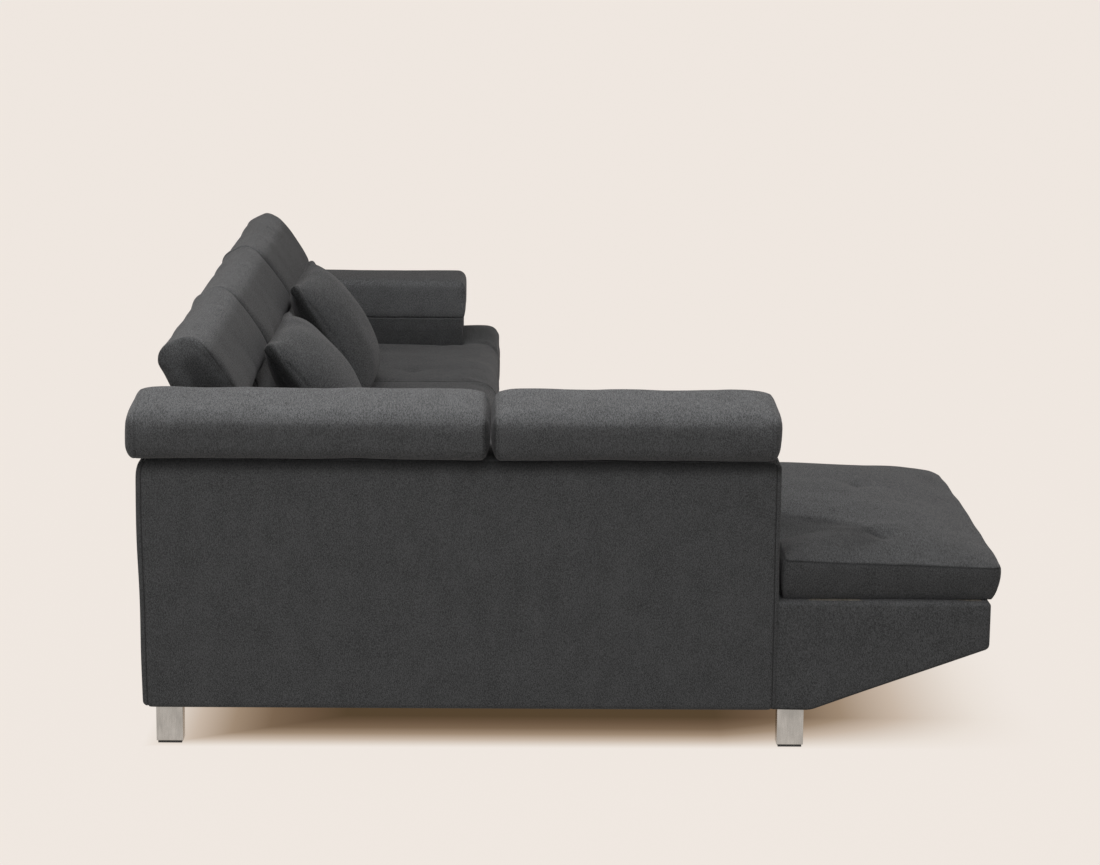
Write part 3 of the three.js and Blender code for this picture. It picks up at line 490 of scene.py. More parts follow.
def stuff(piece, cap, pressure, held=(), last_frame=20):
    """Blows the cover up with a cloth simulation and keeps the swollen shape."""
    scene = bpy.context.scene
    cloth = piece.modifiers.new("stuffing", "CLOTH")
    cloth.settings.quality = 4
    cloth.settings.mass = 0.3
    cloth.settings.use_pressure = True
    cloth.settings.uniform_pressure_force = pressure
    cloth.settings.effector_weights.gravity = 0.0
    if held:
        group = piece.vertex_groups.new(name="held")
        group.add(list(held), 1.0, "REPLACE")
        cloth.settings.vertex_group_mass = "held"
    cloth.point_cache.frame_start = 1
    cloth.point_cache.frame_end = last_frame
    for number in range(1, last_frame + 1):
        scene.frame_set(number)
    swollen = piece.evaluated_get(bpy.context.evaluated_depsgraph_get())
    mesh = swollen.to_mesh()
    places = [vert.co.copy() for vert in mesh.vertices]
    swollen.to_mesh_clear()
    piece.modifiers.remove(cloth)
    piece.vertex_groups.clear()
    for vert, place in zip(piece.data.vertices, places):
        move = place - vert.co
        if move.length > cap:
            move *= cap / move.length
        vert.co += move
    scene.frame_set(1)


def sew(piece, depth):
    """Pulls the marked seams in along the surface's normals."""
    with reshaping(piece) as bm:
        bm.normal_update()
        seam = bm.verts.layers.float["seam"]
        pulls = [(vert, vert.normal * depth * vert[seam]) for vert in bm.verts if vert[seam] > 0]
        for vert, pull in pulls:
            vert.co -= pull


def hold_inside(piece, low, high):
    """Keeps every vertex between two corners, so that the pad clears its neighbours."""
    for vert in piece.data.vertices:
        for axis in (ALONG, DEEP, UP):
            vert.co[axis] = min(max(vert.co[axis], low[axis]), high[axis])


def dress(piece, nodes, body=FIXED, slot=FABRIC, levels=1):
    """Gives a piece its finish, smooths it and ties it to the frame."""
    if levels:
        smooth = piece.modifiers.new("smooth", "SUBSURF")
        smooth.levels = levels
        smooth.render_levels = levels
    piece.data.materials.append(finish_for(slot))
    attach(piece, body)
    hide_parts(*nodes)


# Walls

WALL_TOP_LOOPS = (0.014, 0.020, 0.028, 0.037)
WALL_SHADE_REACH = (0.006, 0.036)
WALL_SEAT_SHADE_REACH = (0.008, 0.045)
REAR_EDGE_START, REAR_EDGE_END = 0.05, 0.01
EVEN_EDGE = 0.03
# Heights up a wall, as shares, over which its rear edge swells and draws back in under the top
SWELL_SHARES, DRAW_SHARES = (0.0, 0.9), (0.94, 1.0)


def pad_wall(node, bends, seams, seed, taller=0.0, longer=0.0, rear_swell=(0.0, 0.0), shade=0.0,
             seat_shade=0.0):
    """An upholstered wall in the place of its node.

    It stands taller than the node and hangs longer below it. rear_swell is how far its rear
    edge stands out at the foot and near the top. The shade is the strength of the painted shade
    right under its top edge, and the seat shade that of the painted shade down where a seat meets it.
    """
    low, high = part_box(node)
    high.z += taller
    low.z -= longer
    sizes = padding()
    bm = padded_block(low, high, Vector(bends), WALL_STEP_SHARE * sizes.mesh_step, seams)
    slice_across(bm, UP, [high.z - gap for gap in WALL_TOP_LOOPS])
    painted_shade = new_layer(bm, "painted_shade")
    for vert in bm.verts:
        below = high.z - vert.co.z
        # Painted shade under the top edge, where the pad above shades the wall, and low down where the seat
        # meets it
        vert[painted_shade] = shade * (1 - smooth_step(below, *WALL_SHADE_REACH)) ** 1.5
        vert[painted_shade] += seat_shade * smooth_step(below, *WALL_SEAT_SHADE_REACH)
        rise = (vert.co.z - low.z) / (high.z - low.z)
        swell = rear_swell[0] + (rear_swell[1] - rear_swell[0]) * smooth_step(rise, *SWELL_SHARES)
        swell *= 1 - 0.5 * smooth_step(rise, *DRAW_SHARES)
        vert.co.y += swell * smooth_step(vert.co.y, high.y - REAR_EDGE_START, high.y - REAR_EDGE_END)
    ripple(bm, 0.0022, 0.16, seed, keep=lambda co: low.z + EVEN_EDGE < co.z < high.z - EVEN_EDGE)
    piece = to_piece(f"{node}_cover", bm)
    sew(piece, sizes.seam_depth)
    dress(piece, [node])


class SOFA_OT_pad_walls(Operator):
    """Upholster the chaise side, the two backs and the arm"""

    bl_idname = "sofa.pad_walls"
    bl_label = "Upholster Walls"

    def execute(self, context):
        low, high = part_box("chaise_side_wall")
        pad_wall("chaise_side_wall", (0.012, 0.022, 0.012), ((), (low.y + 0.007, high.y - 0.008), ()),
                 1.3, longer=0.0045, rear_swell=(0.005, 0.0115), shade=1.0)
        for seed, node in enumerate(("chaise_back_wall", "sofa_back_wall")):
            low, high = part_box(node)
            pad_wall(node, (0.014, 0.030, 0.028), ((), (high.y - 0.009,), ()), 4.1 + seed)
        low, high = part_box("arm_wall")
        pad_wall("arm_wall", (0.004, 0.012, 0.003), ((), (high.y - 0.008,), ()), 7.7, taller=0.0045,
                 shade=0.25, seat_shade=0.45)
        return {"FINISHED"}


# Pads on the walls

# Where a pad's hinge stands, in from its inner edge and up from its underside
PAD_PIVOT = (0.040, 0.035)
BUTTED_CUT = 0.0065
PAD_TOP_ROOM = 0.006
# Reaches from a pad's ends over which its painted shade fades at the caps and fills the shut end
CAP_REACH = (0.001, 0.006)
SHUT_REACH = (0.002, 0.010)
# Heights up a pad, as shares, over which its painted light and painted shade set in or fade
CREST_LIGHT_SHARES = (0.2, 0.5)
FOOT_LIGHT_SHARES = (0.06, 0.30)
SHADE_SHARES = (0.3, 0.5)
# Share of the painted shade lost at the capped ends, and the painted shade at a shut end, where the gap to
# the next pad lies in shade
CAP_SHADE_LOSS = 0.28
SHUT_SHADE = 1.3


def joint_of(body):
    """The joint that moves a body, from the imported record."""
    rows = frame["record"]["behaviour"]["joints"]
    return next(row for row in rows if row["child"] == body)


def pad_places(node, look, span):
    """Matrix from a pad's own axes to the room, and the low corner of its plain block."""
    matrix = Matrix.Translation(Vector(joint_of(node)["pos_m"]))
    matrix @= Matrix.Rotation(math.radians(look.turn), 4, "Z")
    matrix @= Matrix.Rotation(-math.radians(look.tilt), 4, "Y")
    return matrix, Vector((-PAD_PIVOT[0], -span / 2, -PAD_PIVOT[1]))


class PadLook(NamedTuple):
    """How one kind of pad is cut, in its own axes: out, along and up from the hinge.

    grown_low and grown_high are how far the padding stands out past the pad's plain block. The
    crown is the swell of the top and end_drop the share of it that is lost at the ends, over the
    drop's reach. The square foot is the share that is kept of the rounding below. The painted
    light is its strength and where it starts and ends up the pad. The painted shade is its
    strength and where it starts and ends across the pad, from the outer edge, where the crest
    adds painted light instead. The foot is painted light on the rounded lower edge. end_seam is
    how strongly its end seams show, and the softness how much of the stuffing's swell it takes.
    """

    width: float
    thickness: float
    turn: float
    tilt: float
    bends: tuple
    grown_low: tuple
    grown_high: tuple
    brow: float
    crown: float
    dome: float
    end_drop: float
    drop_reach: float
    square_foot: float
    bloom: tuple
    painted_shade: tuple
    crest: float
    foot: float
    end_seam: float
    softness: float


SIDE_LOOK = PadLook(
    width=0.201, thickness=0.100, turn=180.0, tilt=0.0, bends=(0.030, 0.016, 0.027),
    grown_low=(0.002, 0.0048, 0.002), grown_high=(0.004, 0.0048, 0.002), brow=0.017, crown=0.012,
    dome=0.006, end_drop=1.0, drop_reach=0.036, square_foot=1.0, bloom=(1.0, 0.56, 0.88),
    painted_shade=(0.0, 0.0, 1.0), crest=0.0, foot=0.0, end_seam=0.4, softness=1.0)
ARM_LOOK = PadLook(
    width=0.232, thickness=0.104, turn=0.0, tilt=0.0, bends=(0.022, 0.022, 0.024),
    grown_low=(0.0, -0.002, 0.001), grown_high=(0.0, 0.010, 0.0), brow=0.002, crown=0.0,
    dome=0.002, end_drop=0.0, drop_reach=0.036, square_foot=0.30, bloom=(0.72, -0.3, 0.0),
    painted_shade=(0.86, 1.0, 0.86), crest=0.0, foot=0.20, end_seam=0.0, softness=0.2)
HEADREST_LOOK = PadLook(
    width=0.201, thickness=0.100, turn=90.0, tilt=64.0, bends=(0.036, 0.008, 0.034),
    grown_low=(0.002, 0.0014, 0.003), grown_high=(0.003, 0.0014, 0.006), brow=0.017, crown=0.017,
    dome=0.008, end_drop=0.2, drop_reach=0.075, square_foot=1.0, bloom=(0.0, 0.0, 1.0),
    painted_shade=(0.88, 0.14, 0.32), crest=0.36, foot=0.0, end_seam=0.8, softness=1.0)


def dome_pad(bm, low, high, look):
    """Lets a pad's top fall to its outer edge and swell in the middle of its length."""
    for vert in bm.verts:
        if vert.co.z < low.z + look.bends[UP]:
            for axis in (ALONG, DEEP):
                for edge in (low[axis], high[axis]):
                    if abs(vert.co[axis] - edge) < look.bends[axis]:
                        vert.co[axis] = edge + (vert.co[axis] - edge) * look.square_foot
        share = max(0.0, 2 * (vert.co.z - low.z) / (high.z - low.z) - 1)
        across = (high.x - vert.co.x) / (high.x - low.x)
        from_end = min(vert.co.y - low.y, high.y - vert.co.y)
        full = math.sin(math.pi / 2 * min(1.0, from_end / look.drop_reach))
        full = 1 - look.end_drop * (1 - full)
        dome = look.dome * math.sin(math.pi * across) + look.crown * across * full
        vert.co.z += share * (dome - look.brow * (1 - across))


def mark_painted_light_and_shade(bm, low, high, look, shut_end):
    """Marks the painted light and the painted shade of a pad.

    The shut end, 0 or 1, is the one that faces another pad, and it gets painted shade where the gap lies in
    shade.
    """
    bloom_layer = new_layer(bm, "bloom")
    painted_shade_layer = new_layer(bm, "painted_shade")
    bloom, painted_shade = look.bloom, look.painted_shade
    for vert in bm.verts:
        rise = (vert.co.z - low.z) / (high.z - low.z)
        across = (high.x - vert.co.x) / (high.x - low.x)
        inner = smooth_step(across, painted_shade[1], painted_shade[2])
        # Painted light up the pad, along the crest and on the rounded lower edge
        vert[bloom_layer] = (
            bloom[0] * smooth_step(rise, bloom[1], bloom[2])
            + look.crest * (1 - inner) * smooth_step(rise, *CREST_LIGHT_SHARES)
            + look.foot * (1 - smooth_step(rise, *FOOT_LIGHT_SHARES))
        )
        from_end = (vert.co.y - low.y, high.y - vert.co.y)
        shut = 0.0 if shut_end is None else 1 - smooth_step(from_end[shut_end], *SHUT_REACH)
        cap = 1 - smooth_step(min(from_end), *CAP_REACH)
        # Painted shade across the pad and in the gap at the shut end
        shaded_side = painted_shade[0] * inner * smooth_step(rise, *SHADE_SHARES) * (1 - CAP_SHADE_LOSS * cap)
        vert[painted_shade_layer] = max(shaded_side, SHUT_SHADE * shut)


def make_pad(node, look, span, sewn_ends, seed, longer=(0.0, 0.0), shut_end=None, moved_seam=0.0,
             butted=()):
    """A stuffed bolster round its hinge, with a sewn cap at each of the sewn ends.

    The seam at its low end is moved outwards. A butted end is cut square against the next pad.
    """
    sizes = padding()
    cut = [BUTTED_CUT if end in butted else 0.0 for end in (0, 1)]
    matrix, low = pad_places(node, look, span)
    high = low + Vector((look.width, span, look.thickness))
    seam_low = low.y + sizes.pad_end_seam - moved_seam
    caps = [(seam_low, high.y - sizes.pad_end_seam)[end] for end in sewn_ends]
    low -= Vector(look.grown_low) + Vector((0.0, longer[0] + cut[0], 0.0))
    high += Vector(look.grown_high) + Vector((0.0, longer[1] + cut[1], 0.0))
    bm = padded_block(low, high, Vector(look.bends), sizes.mesh_step, ((), caps, ()))
    seam = bm.verts.layers.float["seam"]
    for vert in bm.verts:
        vert[seam] *= look.end_seam
    dome_pad(bm, low, high, look)
    mark_painted_light_and_shade(bm, low, high, look, shut_end)
    piece = to_piece(f"{node}_cover", bm)
    stuff(piece, cap=look.softness * sizes.pad_swell, pressure=3.0)
    with reshaping(piece) as bm:
        ripple(bm, 0.0030 * look.softness, 0.11, seed)
    swell = Vector((0.002, -cut[1], look.crown + PAD_TOP_ROOM))
    hold_inside(piece, low + Vector((0.0, cut[0], -0.001)), high + swell)
    sew(piece, 0.6 * sizes.seam_depth)
    piece.data.transform(matrix)
    dress(piece, [node], body=node)


class SOFA_OT_make_side_pads(Operator):
    """Stuff the two pads on the chaise side and the one on the arm"""

    bl_idname = "sofa.make_side_pads"
    bl_label = "Stuff Side and Arm Pads"

    def execute(self, context):
        for node, seed, shut_end, longer, moved_seam in zip(
                SIDE_PADS, (2.0, 3.0), (1, 0), ((0.005, -0.0063), (0.0057, 0.004)), (0.0, 0.009)):
            low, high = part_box(node)
            make_pad(node, SIDE_LOOK, high.y - low.y, (0, 1), seed, longer, shut_end, moved_seam)
        low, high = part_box("arm_pad")
        make_pad("arm_pad", ARM_LOOK, high.y - low.y, (), 9.0)
        return {"FINISHED"}


class SOFA_OT_make_headrests(Operator):
    """Stuff the three raised headrests"""

    bl_idname = "sofa.make_headrests"
    bl_label = "Stuff Headrests"

    def execute(self, context):
        for seed, (node, sewn_ends, butted) in enumerate(
                zip(HEADRESTS, ((1,), (), (0,)), ((0,), (0, 1), (1,)))):
            low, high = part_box(node)
            make_pad(node, HEADREST_LOOK, high.x - low.x, sewn_ends, 5.0 + seed, butted=butted)
        return {"FINISHED"}


# Seat bases

APRON_LONGER = Vector((0.0, 0.004, 0.0045))
APRON_BEVEL = 0.009
NOSE_HEIGHT = 0.209
# Reaches of the painted light under the top rim and of the painted shade along the lower edges
RIM_LIGHT_REACH = (-0.010, -0.003)
LOWER_EDGE_REACH = (0.0015, 0.0055)


def base_outline(low, high, notch):
    """Plan corners of a base, with the wall's corner taken out."""
    x0, x1, y0, y1 = low.x, high.x, low.y, high.y
    wall_x, wall_y = notch
    if wall_x < (x0 + x1) / 2:
        return [(x0, y0), (x1, y0), (x1, y1), (wall_x, y1), (wall_x, wall_y), (x0, wall_y)]
    return [(x0, y0), (x1, y0), (x1, wall_y), (wall_x, wall_y), (wall_x, y1), (x0, y1)]


def make_apron(node, notch, heel, seed):
    """The padded skirt under a seat, swept up from its heel to its front."""
    low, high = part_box(node)
    low -= APRON_LONGER
    bm = bmesh.new()
    corners = base_outline(low, high, notch)
    face = bm.faces.new([bm.verts.new((x, y, low.z)) for x, y in corners])
    extrude_down(bm, [face], Vector((0.0, 0.0, high.z - low.z)))
    heel_line = Vector((low.x, low.y + heel, low.z))
    under = Vector((0.0, low.z - NOSE_HEIGHT, -heel))
    result = bmesh.ops.bisect_plane(
        bm, geom=whole(bm), dist=TINY, plane_co=heel_line, plane_no=under, clear_outer=True)
    rim = [item for item in result["geom_cut"] if isinstance(item, bmesh.types.BMEdge)]
    bmesh.ops.edgeloop_fill(bm, edges=[edge for edge in rim if edge.is_boundary])
    bmesh.ops.recalc_face_normals(bm, faces=bm.faces)
    sharp = [edge for edge in bm.edges if edge.is_convex and edge.calc_face_angle(0.0) > 0.2]
    bmesh.ops.bevel(bm, geom=sharp, offset=APRON_BEVEL, offset_type="OFFSET", segments=4,
                    profile=0.5, affect="EDGES", material=-1, clamp_overlap=True)
    step = APRON_STEP_SHARE * padding().mesh_step
    for axis in (ALONG, DEEP, UP):
        span = high[axis] - low[axis]
        count = round(span / step)
        slice_across(bm, axis, [low[axis] + span * i / count for i in range(1, count)])
    # Painted light along the top rim and painted shade along the lower edges
    bloom = new_layer(bm, "bloom")
    painted_shade = new_layer(bm, "painted_shade")
    for vert in bm.verts:
        vert[bloom] = 0.3 * smooth_step(vert.co.z - high.z, *RIM_LIGHT_REACH)
        above = min((heel_line - vert.co).dot(under.normalized()), vert.co.z - low.z)
        vert[painted_shade] = 1 - smooth_step(above, *LOWER_EDGE_REACH)
    ripple(bm, 0.002, 0.17, seed)
    bmesh.ops.recalc_face_normals(bm, faces=bm.faces)
    dress(to_piece(f"{node}_skirt", bm), [node], levels=0)


class SOFA_OT_make_aprons(Operator):
    """Cover the base under each seat"""

    bl_idname = "sofa.make_aprons"
    bl_label = "Cover Seat Bases"

    def execute(self, context):
        wall_low, wall_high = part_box("chaise_side_wall")
        make_apron("chaise_base_cover", (wall_high.x, wall_low.y + 0.016), 0.359, 11.0)
        wall_low, wall_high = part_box("arm_wall")
        make_apron("sofa_base_cover", (wall_low.x, wall_low.y + 0.010), 0.170, 12.0)
        return {"FINISHED"}


# Seat cushions

# Distances of loops from each edge of a seat, and how far a joined side reaches into the next seat
EDGE_STEPS = (0.004, 0.010, 0.019, 0.032)
JOINT_LAP = 0.0035
JOINT_LOOP = 0.0015
JOINT_WIDTH = 0.05
JOINT_RISE = 0.003
JOINT_DIP = 0.012
# How far the foot is tucked in, and from how high up, as a share of the boxing
FOOT_TUCK = 0.017
FOOT_SHARE = 0.80
TUCK_REACH = 0.06
BOXING_LOOP_SHARES = (0.06, 0.16, 0.32, 0.55, 0.78, 0.94)
BOXING_BOW = 0.003
# Where the seat sinks beside the arm and rises into the ear, from the arm's inner side
SINK_REACH = (-0.45, -0.10)
LIFT_REACH = (-0.02, 0.13)
EAR_REACH = (-0.005, 0.020)
# A tuft's dimple and wider dip, as (share of its depth, radius), and its creases, along the seat
# and across it, as shares of the depth
TUFT_DIPS = ((1.0, 0.034), (0.5, 0.110))
CREASE_SHARES = (0.85, 0.20)
CREASE_WIDTH = 0.012
CREASE_LENGTH = 0.24
CREASE_WANDER, WANDER_LENGTH = 0.014, 0.08
# The fold beside the chaise's tuft: its bow, where it sets in, its lip and that of its painted shade, the
# reach of its hollow and where its painted shade fades
FOLD_BOW = 0.018
FOLD_START = (-0.050, 0.010)
FOLD_LIP, SHADE_LIP = 0.010, 0.009
HOLLOW_REACH = 0.080
FOLD_SHADE = (0.04, 0.19)
# Strength of the painted shade on the boxing, beside a joint and in the fold, and of the painted shadow of
# the arm on the ear
BOXING_SHADE, JOINT_SHADE, FOLD_SHADE_STRENGTH, EAR_SHADOW = 0.22, 0.4, 0.6, 0.25


def distance_inside(point, outline):
    """Distance in plan from a point to the nearest edge of an outline."""
    nearest = math.inf
    for (ax, ay), (bx, by) in zip(outline, outline[1:] + outline[:1]):
        run = (bx - ax) ** 2 + (by - ay) ** 2
        share = ((point.x - ax) * (bx - ax) + (point.y - ay) * (by - ay)) / run
        share = min(1.0, max(0.0, share))
        gap = math.hypot(point.x - ax - share * (bx - ax), point.y - ay - share * (by - ay))
        nearest = min(nearest, gap)
    return nearest


def bend_corner(point, corners):
    """Bends the square corner blocks of the plan grid into round ones."""
    for cx, cy, dx, dy, radius in corners:
        a = dx * (cx + dx * radius - point.x) / radius
        b = dy * (cy + dy * radius - point.y) / radius
        if 0 < a <= 1.0001 and 0 < b <= 1.0001:
            x = cx + dx * radius * (1 - a * math.sqrt(1 - b * b / 2))
            y = cy + dy * radius * (1 - b * math.sqrt(1 - a * a / 2))
            return x, y
    return point.x, point.y


def beside_line(point, start, end):
    """How far along a line and how far to its left a point lies, with the line's run and course."""
    run = math.hypot(end[0] - start[0], end[1] - start[1])
    tx, ty = (end[0] - start[0]) / run, (end[1] - start[1]) / run
    along = (point.x - start[0]) * tx + (point.y - start[1]) * ty
    away = (point.y - start[1]) * tx - (point.x - start[0]) * ty
    return along, away, run, tx, ty


def tuck_in(point, outline, depth, kept_y):
    """Where a point of the foot goes when the outline is drawn in, all but its side at kept_y."""
    x, y = point.x, point.y
    for start, end in zip(outline, outline[1:] + outline[:1]):
        if start[1] == end[1] == kept_y:
            continue
        along, away, run, tx, ty = beside_line(point, start, end)
        if -TINY <= along <= run + TINY and -TINY <= away < TUCK_REACH:
            x -= ty * depth * (1 - away / TUCK_REACH)
            y += tx * depth * (1 - away / TUCK_REACH)
    return Vector((x, y, point.z))


def tuft_drop(point, tufts, seed):
    """How far the tufts and the creases that run out from them pull the seat down."""
    depth = padding().tuft_depth
    drop = 0.0
    for tx, ty in tufts:
        along, deep = point.x - tx, point.y - ty
        wander = CREASE_WANDER * noise.noise(Vector((point.x, point.y, seed)) / WANDER_LENGTH)
        away = math.hypot(along, deep)
        for share, radius in TUFT_DIPS:
            drop += share * depth * math.exp(-((away / radius) ** 2))
        fade = max(0.0, 1 - away / CREASE_LENGTH) ** 1.2
        for share, off in zip(CREASE_SHARES, (deep, along)):
            drop += share * depth * fade * math.exp(-(((off + wander) / CREASE_WIDTH) ** 2))
    return drop


def fold_share(point, fold):
    """How deep a point lies in the hollow beside a fold, from 0 to 1, and how much painted shade it gets.

    The fold runs from its tuft to its other end, and the hollow lies on its left.
    """
    along, away, run, _, _ = beside_line(point, *fold)
    away += FOLD_BOW * math.sin(math.pi * min(1.0, max(0.0, along / run)))
    if away <= 0:
        return 0.0, 0.0
    near = smooth_step(along, *FOLD_START)
    hollow = near * smooth_step(away, 0.0, FOLD_LIP) * math.exp(-away / HOLLOW_REACH)
    dark = near * smooth_step(away, 0.0, SHADE_LIP) * (1 - smooth_step(away, *FOLD_SHADE))
    return hollow, dark


class SeatLook(NamedTuple):
    """How one seat cushion is cut and stuffed.

    Each corner is its place in plan, the way into the seat along and deep, and its radius. The
    crown rises over its run from the outline, faster with a lower fullness. It doesn't fall
    towards a joined side, where the next cushion touches, nor towards the wall beyond the free
    notch. The droop is how far the seam comes down to the front, and the bulge how far the
    middle of the front stands out. Next to the arm the seat sinks, and the ear in front of the
    arm rises. Its painted shade is how much the top is darkened by painted shade.
    """

    corners: list
    tufts: list
    seed: float
    run: float
    fullness: float
    painted_shade: float
    notch: tuple = None
    free_notch: tuple = None
    joined: tuple = (0.0, 0.0)
    droop: float = 0.0
    forward: float = 0.0
    bulge: float = 0.0
    fold: tuple = None
    ear_rise: float = 0.0
    sink: float = 0.0
    step_share: float = 1.0


def cushion_outline(low, high, notch):
    if notch is None:
        return [(low.x, low.y), (high.x, low.y), (high.x, high.y), (low.x, high.y)]
    return base_outline(low, high, notch)


def plan_lines(low, high, keys, step):
    """Loop places through every key, with even steps between them."""
    marks = sorted({round(key, 5) for key in keys if low < key < high} | {low, high})
    places = []
    for start, end in zip(marks, marks[1:]):
        count = max(1, math.ceil((end - start) / step))
        places += [start + (end - start) * i / count for i in range(1, count + 1)]
    return places[:-1]


def cut_cushion(low, high, seam_z, outline, look):
    """The cushion's plain block up to its upper seam, cut into loops, without the wall's corner."""
    bm = start_sheet(high.x - low.x, high.y - low.y)
    middle = (low + high) / 2
    bmesh.ops.translate(bm, vec=Vector((middle.x, middle.y, seam_z)), verts=bm.verts)
    shut = {side for side, share in zip((low.x, high.x), look.joined) if share}
    for axis in (ALONG, DEEP):
        keys = [tuft[axis] for tuft in look.tufts]
        for line in {corner[axis] for corner in outline}:
            keys += [line + side * gap for side in (-1, 1) for gap in (0.0, *EDGE_STEPS)]
            if axis == ALONG and line in shut:
                keys += [line - JOINT_LOOP, line + JOINT_LOOP]
        for corner in look.corners:
            keys += [corner[axis] + corner[axis + 2] * corner[4] * share for share in (0.5, 0.75, 1.0)]
        step = look.step_share * padding().mesh_step
        slice_across(bm, axis, plan_lines(low[axis], high[axis], keys, step))
    if look.notch is not None:
        wall_x, wall_y = look.notch
        near = wall_x < middle.x
        gone = []
        for face in bm.faces:
            centre = face.calc_center_median()
            beside = centre.x < wall_x if near else centre.x > wall_x
            if beside and centre.y > wall_y:
                gone.append(face)
        bmesh.ops.delete(bm, geom=gone, context="FACES")
    extrude_down(bm, bm.faces[:], Vector((0.0, 0.0, low.z - seam_z)))
    slice_across(bm, UP, [low.z + (seam_z - low.z) * share for share in BOXING_LOOP_SHARES])
    bmesh.ops.recalc_face_normals(bm, faces=bm.faces)
    return bm


def crown_seat(bm, low, high, seam_z, outline, look):
    """Crowns the top, lays its tufts and fold, tucks the foot in and marks seam, foot and painted shade."""
    sizes = padding()
    crown, boxing, notch = high.z - seam_z, seam_z - low.z, look.notch
    spread = [Vector((reach, 0.0, 0.0)) for reach in look.joined]
    rising = cushion_outline(low - spread[0], high + spread[1], look.free_notch or notch)
    around = cushion_outline(low - spread[0], high + spread[1], None)
    seam, foot, pile, unstuffed = [
        new_layer(bm, name) for name in ("seam", "foot", "painted_shade", "unstuffed")]
    for vert in bm.verts:
        z = vert.co.z
        inside = distance_inside(vert.co, outline)
        width_share = (vert.co.x - low.x) / (high.x - low.x)
        stand_out = look.bulge * math.sin(math.pi * width_share)
        stand_out *= 1 - smooth_step(vert.co.y - low.y, 0.0, 0.16)
        rise = (z - low.z) / boxing
        on_boxing = rise < 1 - TINY
        depth = 0.002 + FOOT_TUCK * max(0.0, 1 - rise / FOOT_SHARE) ** 1.8 if on_boxing else 0.0
        x, y = bend_corner(tuck_in(vert.co, outline, depth, notch and notch[1]), look.corners)
        # The pile layer holds painted shade, on the boxing and over the top
        vert[pile] = BOXING_SHADE if on_boxing else look.painted_shade
        if abs(z - seam_z) < TINY:
            from_arm = vert.co.x - notch[0] if look.ear_rise else -math.inf
            ear = smooth_step(from_arm, *EAR_REACH)
            share = min(1.0, distance_inside(vert.co, rising) / look.run)
            share = max(share, ear * min(1.0, distance_inside(vert.co, around) / look.run))
            if look.joined[1] and not look.joined[0]:
                # Painted shade beside the joint with the next cushion
                vert[pile] += JOINT_SHADE * (1 - smooth_step(vert.co.x - low.x, 0.010, 0.060))
            z += crown * math.sin(math.pi / 2 * share) ** (look.fullness * (1 - 0.4 * ear))
            z -= tuft_drop(vert.co, look.tufts, look.seed)
            if look.fold:
                hollow, dark = fold_share(vert.co, look.fold)
                z -= sizes.fold_depth * hollow * smooth_step(inside, 0.0, 0.05)
                # Painted shade in the fold's hollow
                vert[pile] += FOLD_SHADE_STRENGTH * dark
            if look.ear_rise:
                lift = smooth_step(from_arm, *LIFT_REACH)
                # Painted shadow of the arm on the ear
                vert[pile] += EAR_SHADOW * lift
                z += look.ear_rise * lift * math.sin(math.pi / 2 * share) ** look.fullness
                z -= look.sink * smooth_step(from_arm, *SINK_REACH) * (1 - lift)
            if inside < TINY and share < TINY:
                vert[seam] = 1.0
        elif z < low.z + TINY:
            vert[foot] = 1.0
        if look.droop:
            front = min(1.0, max(0.0, (notch[1] - vert.co.y) / (notch[1] - low.y)))
            z -= look.droop * front * min(1.0, (z - low.z) / boxing)
        vert.co = Vector((x, y - stand_out, z))
        vert[unstuffed] = z
    bm.normal_update()
    for vert in bm.verts:
        rise = (vert.co.z - low.z) / boxing
        outward = Vector((vert.normal.x, vert.normal.y, 0.0))
        if vert[foot] == 0 and rise < 1.0 - TINY and outward.length > 0.2:
            outward.normalize()
            vert.co += outward * BOXING_BOW * math.sin(math.pi * min(1.0, max(0.0, rise)))
    return [vert.index for vert in bm.verts if vert[foot] > 0 or vert[seam] > 0]


def make_cushion(node, look):
    """A boxed seat cushion: crowned top, seams round the boxing and a tucked-in foot."""
    sizes = padding()
    low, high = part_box(node)
    low -= Vector((JOINT_LAP if look.joined[0] else 0.0, look.forward, 0.0))
    high.x += JOINT_LAP if look.joined[1] else 0.0
    seam_z = low.z + sizes.boxing_height
    outline = cushion_outline(low, high, look.notch)
    bm = cut_cushion(low, high, seam_z, outline, look)
    held = crown_seat(bm, low, high, seam_z, outline, look)
    piece = to_piece(f"{node}_cover", bm)
    stuff(piece, cap=0.006, pressure=2.0, held=held)
    with reshaping(piece) as bm:
        ripple(bm, 0.004, 0.13, look.seed, keep=lambda co: co.z > low.z + 0.02)
        unstuffed = bm.verts.layers.float["unstuffed"]
        for vert in bm.verts:
            gaps = (vert.co.x - low.x, high.x - vert.co.x)
            from_next = min([1.0] + [gap for gap, reach in zip(gaps, look.joined) if reach])
            if vert.co.z > seam_z:
                level = vert[unstuffed] + JOINT_RISE - 0.10 * max(0.0, JOINT_DIP - from_next)
                vert.co.z = level + smooth_step(from_next, 0.0, JOINT_WIDTH) * (vert.co.z - level)
    sew(piece, sizes.seam_depth)
    top_room = Vector((0.0, 0.0, 0.004 + look.ear_rise))
    hold_inside(piece, low - Vector((0.0, look.bulge, 0.0)), high + top_room)
    dress(piece, [node])


